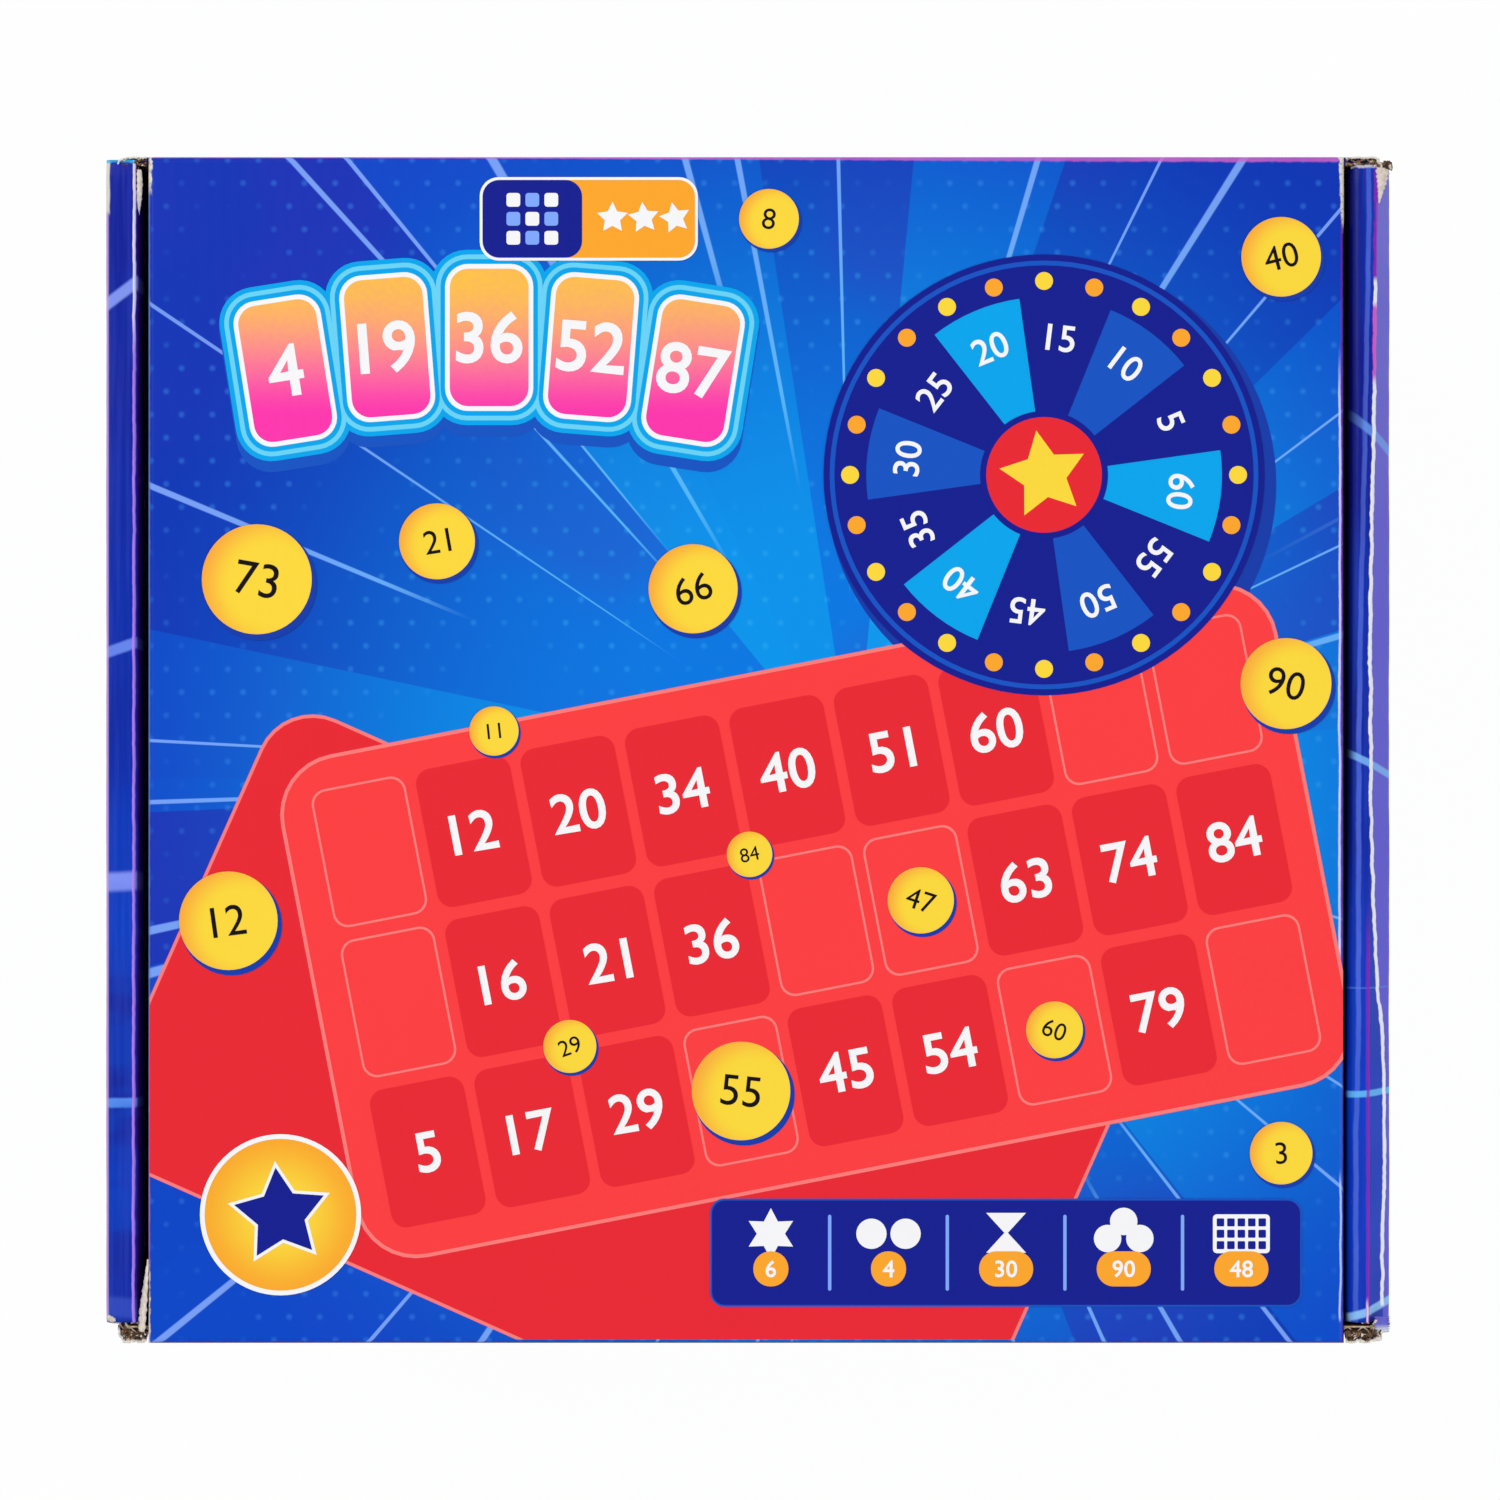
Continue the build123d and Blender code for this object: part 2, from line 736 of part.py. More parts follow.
with BuildPart() as tray_hollow:
    add(hollow_shape)
    with Locations(pocket_places):
        Sphere(pocket_radius + tray_skin, mode=Mode.SUBTRACT)
    add(channel_shell, mode=Mode.SUBTRACT)

with BuildPart() as number_tray:
    add(tray_shape)
    fillet(number_tray.faces().sort_by(Axis.Z)[-1].edges(), tray_edge_radius)
    add(rim)
    with Locations(pocket_places):
        Sphere(pocket_radius, mode=Mode.SUBTRACT)
    add(channel_cut, mode=Mode.SUBTRACT)
    add(tray_hollow.part, mode=Mode.SUBTRACT)
    with BuildSketch(Plane.XY.offset(tray_top)):
        with Locations((-ring_middle_x, cage_y), (ring_middle_x, cage_y)):
            with GridLocations(leg_tab_thickness, leg_tab_spacing, 1, 2):
                Rectangle(leg_tab_thickness + 2 * leg_tab_clearance, leg_tab_width + 2 * leg_tab_clearance)
    extrude(amount=-leg_pad_height, mode=Mode.SUBTRACT)
save(number_tray.part, "number_tray")

# Cards in one pile on the tray's left block
card_x = -tray_half_width + card_side_inset + card_width / 2
card_y = tray_front_y + card_front_inset + card_length / 2
card_pitch = card_thickness + card_air
pile_bottom = tray_top + card_band_thickness
pile_top = pile_bottom + card_count * card_pitch
card_strays = np.random.default_rng(5).uniform(-card_stray, card_stray, (card_count, 2))

with BuildPart() as card:
    with BuildSketch(Plane.XY.offset(pile_bottom)):
        RectangleRounded(card_width, card_length, card_corner_radius)
    extrude(amount=card_thickness)

with BuildPart() as cards:
    add(
        [
            Pos(card_x + stray[0], card_y + stray[1], i * card_pitch) * card.part
            for i, stray in enumerate(card_strays)
        ]
    )
save(cards.part, "bingo_cards")

band_inner_half = card_length / 2 + card_stray + card_band_slack
band_outer_half = band_inner_half + card_band_thickness
band_inner_top = pile_top + card_band_slack
band_top = band_inner_top + card_band_thickness
with BuildPart() as card_band:
    add(
        slab(
            (card_x - card_band_width / 2, card_y - band_outer_half, tray_top),
            (card_x + card_band_width / 2, card_y + band_outer_half, band_top),
        )
    )
    add(
        slab(
            (card_x - card_band_width / 2 - overrun, card_y - band_inner_half, pile_bottom),
            (card_x + card_band_width / 2 + overrun, card_y + band_inner_half, band_inner_top),
        ),
        mode=Mode.SUBTRACT,
    )
save(card_band.part, "card_band")

# Instruction sheet, folded once, lying on the banded pile
sheet_height = 2 * sheet_thickness + sheet_fold_gap
with BuildPart() as folded_sheet:
    add(slab((-sheet_width / 2, -sheet_length / 2, 0), (sheet_width / 2, sheet_length / 2, sheet_height)))
    fillet(folded_sheet.edges().filter_by(Axis.Y).group_by(Axis.X)[0], sheet_thickness)
    add(
        slab(
            (-sheet_width / 2 + sheet_thickness, -sheet_length, sheet_thickness),
            (sheet_width, sheet_length, sheet_thickness + sheet_fold_gap),
        ),
        mode=Mode.SUBTRACT,
    )

with BuildPart() as sheet:
    with Locations(Location((card_x + card_width * sheet_side_share, card_y, band_top), (0, 0, sheet_turn))):
        add(folded_sheet.part)
save(sheet.part, "instruction_sheet")
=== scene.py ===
"""Looks of a boxed bingo game: a printed carton of fluted board, and the game that it holds.

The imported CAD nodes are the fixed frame, and stay where they are. Places are read from them, or given
in millimetres in the frame's own axes, and MM turns them into Blender's metres.
"""

import math
import random

import bmesh
import bpy
import numpy as np
from mathutils import Matrix, Vector
from mathutils.geometry import tessellate_polygon


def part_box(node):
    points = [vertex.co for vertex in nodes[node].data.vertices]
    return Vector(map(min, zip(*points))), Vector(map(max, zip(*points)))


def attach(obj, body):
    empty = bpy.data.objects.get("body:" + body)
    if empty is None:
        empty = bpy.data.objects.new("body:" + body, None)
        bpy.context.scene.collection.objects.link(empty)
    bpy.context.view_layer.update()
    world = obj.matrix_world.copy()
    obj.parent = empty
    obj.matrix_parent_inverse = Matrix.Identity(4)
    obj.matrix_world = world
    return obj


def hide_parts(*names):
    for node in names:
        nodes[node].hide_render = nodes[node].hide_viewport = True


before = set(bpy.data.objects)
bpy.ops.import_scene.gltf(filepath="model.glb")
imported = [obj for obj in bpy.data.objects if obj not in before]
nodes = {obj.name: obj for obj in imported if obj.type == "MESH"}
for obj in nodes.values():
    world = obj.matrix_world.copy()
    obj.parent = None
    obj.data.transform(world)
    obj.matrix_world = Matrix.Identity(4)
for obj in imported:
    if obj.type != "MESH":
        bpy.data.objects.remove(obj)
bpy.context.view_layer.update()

MM = 0.001
TAU = 2 * math.pi
X, Y, Z = 0, 1, 2
FLUTE = 3.3  # pitch of the board's flutes
BOARD = 1.6
LINER = 0.28  # thickness of each of the board's faces
FOLDED_ROUND = ("lid_panel", "base_panel", "hinge_wall")  # sheets that show no raw edges
ALONG = (0, 1, 0)  # stretches noise so that it changes along Y alone


def box_mm(node):
    """The lowest and highest corners of a CAD node, in millimetres."""
    low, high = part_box(node)
    return low / MM, high / MM


def srgb(red, green, blue):
    """A colour as it is seen, from 0 to 255, turned into the linear one that Blender wants."""
    parts = [value / 255 for value in (red, green, blue)]
    return tuple(p / 12.92 if p <= 0.04045 else ((p + 0.055) / 1.055) ** 2.4 for p in parts) + (1.0,)


VARNISH = 0.008  # the light that the print's varnish mirrors


def printed(red, green, blue):
    """A printed colour as it is seen, less the light that its varnish mirrors."""
    return tuple(max(part - VARNISH, 0.0) for part in srgb(red, green, blue)[:3]) + (1.0,)


LID_LOW, LID_HIGH = box_mm("lid_panel")
TOP = LID_HIGH.z
FOLD_OUTSIDE = 133.4  # the outside of the ears' folds, from the middle

INK_COLOURS = {
    "navy": printed(30, 38, 146), "royal": srgb(20, 84, 196), "shadow": srgb(20, 60, 170),
    "cyan": printed(0, 168, 240), "pale_cyan": printed(110, 214, 248), "pale_blue": printed(132, 172, 255),
    "red": printed(255, 68, 70), "deep_red": printed(236, 48, 58), "pale_red": printed(255, 128, 126),
    "yellow": printed(255, 220, 66), "amber": printed(255, 170, 52), "white": printed(250, 250, 252),
    "black": printed(26, 22, 26), "grey": srgb(120, 120, 126),
}
BLUE = printed(0, 80, 208)
DEEP_BLUE = printed(24, 58, 182)
BRIGHT_BLUE = printed(0, 160, 242)
MAGENTA = printed(176, 58, 190)
PAPER = srgb(232, 226, 216)
KRAFT = srgb(186, 148, 108)
TAN = srgb(150, 112, 78)
DARK_KRAFT = srgb(122, 88, 60)
# Painted shade, near black, in the hollows between the flutes at cut edges
HOLLOW_SHADE = srgb(34, 22, 16)


# Materials. A Value is a number on its way through a material's nodes, and works in formulas.
class Value:
    def __init__(self, look, socket):
        self.look = look
        self.socket = socket

    def __add__(self, other):
        return self.look.math("ADD", self, other)

    def __sub__(self, other):
        return self.look.math("SUBTRACT", self, other)

    def __rsub__(self, other):
        return self.look.math("SUBTRACT", other, self)

    def __mul__(self, other):
        return self.look.math("MULTIPLY", self, other)

    def __truediv__(self, other):
        return self.look.math("DIVIDE", self, other)

    def __abs__(self):
        return self.look.math("ABSOLUTE", self)

    __radd__ = __add__
    __rmul__ = __mul__


class Nodes:
    """The shader nodes of a material or a world, being put together."""

    def __init__(self, tree):
        self.tree = tree

    def add(self, kind, **settings):
        node = self.tree.nodes.new(kind)
        for name, value in settings.items():
            setattr(node, name, value)
        return node

    def feed(self, socket, value):
        """Links or sets a socket. A colour of three parts is a printed one as it is seen, from 0 to 255."""
        if isinstance(value, tuple) and len(value) == 3:
            value = printed(*value)
        if isinstance(value, Value):
            value = value.socket
        if isinstance(value, bpy.types.NodeSocket):
            self.tree.links.new(value, socket)
        else:
            socket.default_value = value

    def math(self, operation, *values, clamp=False):
        node = self.add("ShaderNodeMath", operation=operation, use_clamp=clamp)
        for socket, value in zip(node.inputs, values):
            self.feed(socket, value)
        return Value(self, node.outputs[0])


class Look(Nodes):
    """A material, on Blender's own principled surface."""

    def __init__(self, name, roughness, specular=0.5, coat=0.0, coat_roughness=0.1):
        self.material = bpy.data.materials.new(name)
        self.material.use_nodes = True
        super().__init__(self.material.node_tree)
        self.surface = self.tree.nodes["Principled BSDF"]
        for socket, value in (("Roughness", roughness), ("Specular IOR Level", specular),
                              ("Coat Weight", coat), ("Coat Roughness", coat_roughness)):
            self.surface.inputs[socket].default_value = value
        self.place = self.add("ShaderNodeTexCoord")
        scaled = self.add("ShaderNodeVectorMath", operation="SCALE")
        scaled.inputs["Scale"].default_value = 1 / MM
        self.tree.links.new(self.place.outputs["Object"], scaled.inputs[0])
        self.spot = scaled.outputs[0]
        self.colour = None  # the colour so far

    def split(self, vector):
        node = self.add("ShaderNodeSeparateXYZ")
        self.tree.links.new(vector, node.inputs[0])
        return [Value(self, socket) for socket in node.outputs]

    def position(self):
        """The point's place in millimetres, along X, Y and Z."""
        return self.split(self.spot)

    def facing(self):
        """The surface's direction, along X, Y and Z."""
        return self.split(self.place.outputs["Normal"])

    def step(self, value, low, high):
        """Rises smoothly from 0 at low to 1 at high."""
        node = self.add("ShaderNodeMapRange", interpolation_type="SMOOTHSTEP")
        for socket, setting in zip(node.inputs, (value, low, high, 0.0, 1.0)):
            self.feed(socket, setting)
        return Value(self, node.outputs[0])

    def fall(self, value, low, high):
        """Falls smoothly from 1 at low to 0 at high."""
        return 1.0 - self.step(value, low, high)

    def line(self, value, centre, width):
        """1 on a line of that width, and 0 beside it."""
        return self.fall(abs(value - centre), width * 0.3, width * 0.6)

    def mix(self, share, first, second):
        node = self.add("ShaderNodeMix", data_type="RGBA")
        for socket, value in ((0, share), (6, first), (7, second)):
            self.feed(node.inputs[socket], value)
        return node.outputs[2]

    def lay(self, share, tint):
        """Lays a tint over the colour so far."""
        self.colour = self.mix(share, self.colour, tint)

    def noise(self, size, detail=2.0, stretch=(1, 1, 1), shift=0.0):
        """Soft random values from 0 to 1, in spots of that size in millimetres."""
        move = self.add("ShaderNodeMapping")
        move.inputs["Location"].default_value = (shift, shift, shift)
        move.inputs["Scale"].default_value = stretch
        self.tree.links.new(self.spot, move.inputs["Vector"])
        node = self.add("ShaderNodeTexNoise")
        node.inputs["Scale"].default_value = 1 / size
        node.inputs["Detail"].default_value = detail
        self.tree.links.new(move.outputs[0], node.inputs["Vector"])
        return Value(self, node.outputs[0])

    def sectors(self, turn, count, shift):
        """Splits a full turn into uneven sectors: two random values of each, and its middle's distance."""
        node = self.add("ShaderNodeTexVoronoi", voronoi_dimensions="1D")
        node.inputs["Scale"].default_value = 1.0
        self.feed(node.inputs["W"], turn * count + shift)
        part = self.add("ShaderNodeSeparateColor")
        self.tree.links.new(node.outputs["Color"], part.inputs[0])
        return [Value(self, socket) for socket in (*part.outputs[:2], node.outputs["Distance"])]

    def attribute(self, name):
        node = self.add("ShaderNodeAttribute", attribute_name=name)
        return Value(self, node.outputs["Fac"])

    def roughen(self, value):
        self.feed(self.surface.inputs["Roughness"], value)

    def finish(self, relief, depth, strength=0.5):
        """Paints the colour, and lets light see a relief of that depth, in millimetres."""
        self.feed(self.surface.inputs["Base Color"], self.colour)
        node = self.add("ShaderNodeBump")
        node.inputs["Strength"].default_value = strength
        node.inputs["Distance"].default_value = depth * MM
        self.feed(node.inputs["Height"], relief)
        for socket in ("Normal", "Coat Normal"):
            self.tree.links.new(node.outputs[0], self.surface.inputs[socket])
        return self.material


def washboard(look, across):
    """The ripple that the flutes under it give a printed face, with the paper's own unevenness."""
    ripple = look.math("SINE", across * (TAU / FLUTE))
    return ripple * 0.35 + look.noise(7.0, 3.0) * 1.6 + look.noise(0.5, 2.0) * 0.16


BURST = (22.0, -6.0)  # where the lid's rays meet
DOT_PITCH = (6.48, 4.88)


def ray_print(look, u, v, centre=BURST, streaks=1.0):
    """The blue print at a place of the unfolded carton: broad rays, light streaks and a lattice of dots."""
    across, along = u - centre[0], v - centre[1]
    turn = look.math("ARCTAN2", along, across) / TAU + 0.5
    reach = look.math("SQRT", across * across + along * along)
    near = look.fall(reach, 40.0, 165.0)
    tone, second_tone, _ = look.sectors(turn, 26.0, 3.7)
    ray = look.step(tone, 0.34, 0.36)
    deep = look.mix(near, DEEP_BLUE, (0, 122, 228))
    deep = look.mix(look.step(look.noise(60.0, 1.0, shift=3.0), 0.45, 0.65) * 0.3, deep, (52, 50, 186))
    colour = look.mix(ray * (second_tone * 0.5 + 0.5), deep, look.mix(near, BLUE, BRIGHT_BLUE))
    rows = v / DOT_PITCH[1]
    columns = u / DOT_PITCH[0] + look.math("FLOOR", rows) * 0.5
    off_u = (look.math("FRACT", columns) - 0.5) * DOT_PITCH[0]
    off_v = (look.math("FRACT", rows) - 0.5) * DOT_PITCH[1]
    off = look.math("SQRT", off_u * off_u + off_v * off_v)
    dots = look.fall(off, 0.1, 1.0) * look.step(look.noise(30.0, 1.0, shift=9.0), 0.3, 0.6)
    colour = look.mix(dots * 0.28, colour, look.mix(near, (70, 150, 250), (60, 190, 255)))
    chance, breadth, middle = look.sectors(turn, 52.0, 14.2)
    half_width = breadth * breadth * 0.042 + 0.016
    start = look.math("FRACT", chance * 7.3) * 60.0
    streak = look.fall(middle / half_width, 0.75, 1.3) * look.step(chance, 0.26, 0.3)
    streak = streak * look.step(reach - start, 34.0, 58.0)
    pale = look.mix(near, INK_COLOURS["pale_blue"], (84, 196, 255))
    return look.mix(streak * streaks * 0.85, colour, pale)


def raw_paper(look, pale, dark):
    """Unprinted paper: fine fibres in all directions, with darker specks."""
    fibres = look.noise(0.55, 4.0, stretch=(1, 0.35, 0.6)) * 0.6 + look.noise(9.0, 2.0) * 0.4
    colour = look.mix(look.step(fibres, 0.3, 0.72), dark, pale)
    specks = look.step(look.noise(0.9, 2.0, shift=31.0), 0.69, 0.74)
    return look.mix(specks * 0.3, colour, dark)


def board_look(node, thick, flute, outer, ear_end=0):
    """Fluted board. thick and flute are axis numbers: across the board, and the one its flutes follow.

    outer is the printed side's direction along thick, or 0 where no side is printed. Raw edges show the
    flutes. ear_end is the side, along Y, of the wall that a pair of ears is folded from: their print is on
    the outside of the fold.
    """
    look = Look(node + "_board", roughness=0.34, specular=0.1)
    place, facing = look.position(), look.facing()
    side = 3 - thick - flute
    ripple = look.math("SINE", place[side] * (TAU / FLUTE))
    look.colour = raw_paper(look, KRAFT, TAN)
    look.lay(look.step(ripple, 0.2, 1.0) * 0.16, DARK_KRAFT)
    raw_edges = node not in FOLDED_ROUND
    if outer:
        outside = look.step(facing[thick] * outer, 0.2, 0.45)
        if not raw_edges:
            outside = look.fall(facing[thick] * -outer, 0.5, 0.8)
        depth = TOP - place[2]
        look.lay(outside, ray_print(look, place[0] + depth * facing[0], place[1] + depth * facing[1]))
        look.roughen(0.8 - outside * 0.5)
    if ear_end:
        outwards = look.math("SIGN", place[0]) * facing[0]
        endwards = facing[1] * ear_end
        folded = look.math("MAXIMUM", look.step(outwards, 0.2, 0.45), look.step(endwards, 0.2, 0.45))
        look.lay(folded, ray_print(look, place[0], place[1] + (TOP - place[2]) * ear_end))
    if raw_edges:
        low, high = box_mm(node)
        middle = FOLD_OUTSIDE - BOARD / 2 if ear_end else (low[thick] + high[thick]) / 2
        edge = look.fall(abs(facing[thick]), 0.3, 0.55)
        if ear_end:
            edge = edge * (1.0 - folded)
        across = (abs(place[thick]) if ear_end else place[thick]) - middle
        inner_face = BOARD / 2 - LINER
        paper = look.math("MAXIMUM", look.step(abs(across), inner_face - 0.05, inner_face),
                          look.line(across - ripple * inner_face, 0.0, 0.34))
        # The flutes' hollows at a cut edge get painted shade
        hollow = look.mix(paper, HOLLOW_SHADE, raw_paper(look, PAPER, KRAFT))
        plain = look.mix(look.step(abs(across), 0.3, 0.6), DARK_KRAFT, PAPER)
        look.lay(edge, look.mix(look.step(abs(facing[flute]), 0.4, 0.7), plain, hollow))
    if node == "lid_panel":
        lid_wear(look, place)
    return look.finish(washboard(look, place[side]), 0.05)


def fray(look, share, rim, white):
    """Wears print off: tinted ink at the rim of a scuff, and bare paper in it."""
    look.lay(look.step(share, 0.2, 0.5), rim)
    look.lay(look.step(share, white, white + 0.2), PAPER)


def lid_wear(look, place):
    """The lid's creases: pink along the hinge, painted shade along the front crease and the right edge, bare
    paper beside the corners.
    """
    x, y, _ = place
    ragged = look.noise(1.6, 3.0)
    slow = look.noise(14.0, 2.0, shift=17.0)
    breadth = look.step(x, -110.0, 125.0) * 0.95 + 0.3
    hinge_line = look.step((y - LID_HIGH.y) / breadth + ragged * 0.5, -0.85, -0.45)
    look.lay(hinge_line * 0.8, look.mix(slow, (232, 132, 214), (166, 70, 196)))
    # Painted shade along the rounded front crease
    front_shade = look.step(ragged * 0.6 - y, -LID_LOW.y - 0.25, -LID_LOW.y + 0.1)
    look.lay(front_shade * 0.75, (74, 16, 96))
    left = look.fall(x - ragged * 0.3, LID_LOW.x + 0.15, LID_LOW.x + 0.4)
    left_tint = look.mix(look.step(y, -70.0, -50.0), (186, 134, 216), (108, 150, 230))
    look.lay(left * (slow * 0.5 + 0.45), left_tint)
    upper = look.step(y, -52.0, -44.0)
    right = look.step(x + ragged * 0.3, LID_HIGH.x - 0.75, LID_HIGH.x - 0.5)
    look.lay(right * (upper * 0.5 + 0.3), (122, 36, 164))
    drift = (look.noise(17.0, 2.0, stretch=ALONG, shift=8.0) - 0.5) * 0.7
    pale_line = look.line(x + drift + ragged * 0.2, LID_HIGH.x - 0.9, 0.55)
    pale_line = pale_line * upper * look.fall(y, 72.0, 86.0)
    look.lay(pale_line * (slow * 0.5 + 0.55), (226, 224, 255))
    # Painted shade along the right edge, where the lid turns down into the gap
    shade = look.step(x + ragged * 0.3, LID_HIGH.x - 0.25, LID_HIGH.x - 0.1)
    look.lay(shade * 0.85, (34, 4, 50))
    swerve = (look.noise(11.0, 2.0, stretch=ALONG, shift=3.0) - 0.5) * 1.6
    rub = look.line(x + swerve, LID_HIGH.x - 0.85, 0.5)
    rub = rub * look.step(-88.0 - y, 0.0, 5.0) * look.fall(-119.5 - y, 0.0, 1.5)
    look.lay(rub * 0.8, (196, 214, 255))
    left_reach = look.step(y + ragged * 4.0, 116.0, 119.0) * 0.8 + 0.9
    ends = look.step(y + ragged * 4.0, 118.0, 121.0) + look.step(ragged * 4.0 - y, 109.0, 113.0)
    left_bare = look.fall(x - ragged * left_reach, LID_LOW.x - 0.2, LID_LOW.x + 0.15) * ends
    right_bare = look.step(x + ragged * 1.2 + (y - 110.0) * 0.045, LID_HIGH.x - 0.1, LID_HIGH.x + 0.25)
    right_bare = right_bare * look.step(y + ragged * 4.0, 111.0, 114.0)
    torn = look.mix(look.step(look.noise(0.7, 3.0), 0.3, 0.5), srgb(170, 158, 160), PAPER)
    look.lay(look.math("ADD", left_bare, right_bare, clamp=True), torn)


ROLL_END = {1: 123.6, -1: 124.51}  # where the right and the left roll's top ends, beside the hinge
BAND_X = 132.0  # the place across each roll at which its bands' middles are given
# The print's light bands over each roll: middle, slope, width, strength and colour
ROLL_BANDS = {
    1: ((66.5, -0.78, 2.5, 0.66, (116, 166, 248)), (-3.4, -0.48, 1.8, 0.75, (130, 190, 255)),
        (-50.2, 0.0, 0.4, 0.3, (110, 160, 250)), (-72.4, 0.05, 1.5, 0.85, (104, 192, 255)),
        (-118.0, 0.32, 2.0, 0.85, (150, 204, 255))),
    -1: ((96.7, 0.76, 3.2, 0.85, (138, 160, 250)), (21.8, 0.35, 2.6, 0.85, (112, 144, 246)),
         (-27.7, 0.05, 4.3, 0.85, (140, 158, 254)), (-74.4, 0.0, 2.2, 0.85, (98, 160, 254)),
         (-117.6, -0.1, 4.6, 0.3, (84, 112, 226))),
}
ROLL_FOOT = {1: 134.9, -1: 141.0}  # how high the wall below each roll reaches
WALL_BURST = (-62.0, 205.0)  # where a side wall's rays meet: along the wall, and down from its top


def roll_look(name, side):
    """A side wall's outer sheet: rays on the wall, and on its rolled edge light bands and worn creases, with
    painted shade where the roll turns inwards, and on the right roll a painted highlight along its bend and
    painted sheen on its flank.
    """
    look = Look(name, roughness=0.25, specular=0.1)
    x, y, z = look.position()
    ragged = look.noise(1.3, 4.0, stretch=(1, 0.35, 1)) - 0.5
    slow = look.noise(13.0, 2.0, stretch=ALONG, shift=6.0)
    patch = look.noise(46.0, 1.0, stretch=(0.4, 1, 1), shift=2.0)
    grain = look.noise(0.8, 2.0, stretch=(1, 0.03, 1), shift=1.0)
    rub = look.attribute("rub")  # how far outwards of the worn crease a point is, in millimetres
    look.colour = look.mix(look.step(patch, 0.4, 0.6), (28, 44, 158), (18, 64, 192))
    upper = look.step(y, -50.0, 30.0)
    look.lay(upper * 0.55, (24, 34, 148))
    look.lay(look.step(grain, 0.35, 0.7) * 0.2, (66, 84, 206))
    lower = look.fall(y, -70.0, 0.0)
    if side > 0:
        look.lay(lower * 0.6, (14, 66, 202))
        # Painted highlight along the roll's bend, where its gloss would catch the light
        shine = look.line(look.attribute("shine"), 0.0, 1.1)
        look.lay(shine * (slow * 0.35 + 0.25), (104, 132, 244))
        # Painted sheen: the flank outwards of the crease is lighter, as glancing light makes it
        look.lay(look.step(rub, 0.0, 0.3) * 0.85, (104, 98, 220))
    # The bands run on down the wall, towards where its rays meet
    drop = look.math("MAXIMUM", 0.0 - z + ROLL_FOOT[side], 0.0)
    narrowing = 1.0 - drop * (0.7 / WALL_BURST[1])
    bands = []
    for middle, slope, width, strength, tint in ROLL_BANDS[side]:
        lean = (WALL_BURST[0] - middle - slope * side * 4.0) / WALL_BURST[1]
        off = (y - (x - side * BAND_X) * slope - drop * lean + ragged * 0.2 - middle) / narrowing
        bands.append((look.line(off, 0.0, width) * strength, tint))
    for band, tint in bands:
        look.lay(band, tint)
    if side > 0:
        # Painted shade where the roll turns down inwards: deep navy over a wider band on its upper part, and
        # near black along its inner edge
        deep = look.fall(x, 127.6, 130.4) * look.step(y, 30.0, 80.0)
        look.lay(deep * 0.75, (2, 16, 118))
        shade = look.fall(x + lower * 1.3, 126.3, 128.1)
        look.lay(shade * (0.9 - lower * 0.35), (4, 6, 52))
        bend = look.line(x + ragged * 0.4, 130.35, 0.9) * look.fall(y, -48.0, -30.0)
        look.lay(bend * 0.8, (138, 34, 190))
        crack = look.line(x + ragged * 0.9, 130.3, 0.6) * look.fall(y, -118.0, -115.0)
        look.lay(crack * 0.9, (250, 214, 236))
        tinted = look.step(y, 76.5, 79.5) * (1.0 - look.line(y, 96.6, 6.0))
        tint = look.mix(tinted, (246, 246, 255),
                        look.mix(look.step(y, 96.0, 100.0), (214, 96, 206), (142, 44, 190)))
        sway = (look.noise(3.4, 2.0, stretch=ALONG, shift=5.0) - 0.5) * 0.9
        crease = look.line(rub + ragged * 0.5 + sway, 0.0, 0.95) * look.step(y, -118.2, -117.4)
        look.lay(crease * 0.95, tint)
    else:
        blotch = look.step(look.noise(9.0, 2.0, stretch=(0.3, 1, 1), shift=7.0), 0.45, 0.6)
        look.lay(blotch * lower * 0.4, (10, 76, 204))
        # Painted shade on the steep inner face beyond the crease: its magenta-purple print darkened, to near
        # black towards its foot
        inner = look.fall(rub, -0.8, -0.35)
        dark = look.mix(look.step(z, 139.0, 141.0), (8, 2, 18), (60, 6, 92))
        look.lay(inner * 0.92, dark)
        pale = look.mix(look.step(y, 82.0, 96.0), (184, 136, 250), (240, 234, 255))
        look.lay(look.line(rub + ragged * 0.2, 0.0, 0.62) * 0.9, pale)
        look.lay(look.step(abs(x), 135.1, 135.45) * 0.8, (206, 170, 228))
        end_wear = look.step(abs(x) + ragged * 0.6, 134.85, 135.25)
        end_wear = end_wear * look.step(y + ragged * 3.0, 112.5, 114.0)
        look.lay(end_wear, look.mix(slow, (250, 246, 240), (176, 168, 160)))
    hinge_end = look.step(y + ragged * 1.2, ROLL_END[side] - 0.9, ROLL_END[side] - 0.4)
    look.lay(hinge_end * 0.85, (60, 180, 236) if side < 0 else (226, 222, 226))
    fray(look, look.attribute("wear") + ragged * 0.9, MAGENTA, 0.72)
    # On the right, the roll's colour, with the flank's painted sheen, fades down into the wall's print
    rolled = look.step(z, 118.0, 135.5)
    if side < 0:
        inside = look.fall(abs(x), 131.0, 132.0)
        rolled = look.math("MAXIMUM", look.step(z, TOP - 1.7, TOP - 1.0), inside)
    burst = (side * (136.0 + WALL_BURST[1]), WALL_BURST[0])
    wall = ray_print(look, x + drop * side, y, burst, look.fall(z, 84.0, 126.0))
    for band, tint in bands:
        wall = look.mix(band, wall, tint)
    look.colour = look.mix(rolled, wall, look.colour)
    return look.finish(look.noise(5.0, 3.0) * 1.4 + look.noise(0.6, 2.0) * 0.2, 0.08, 0.6)


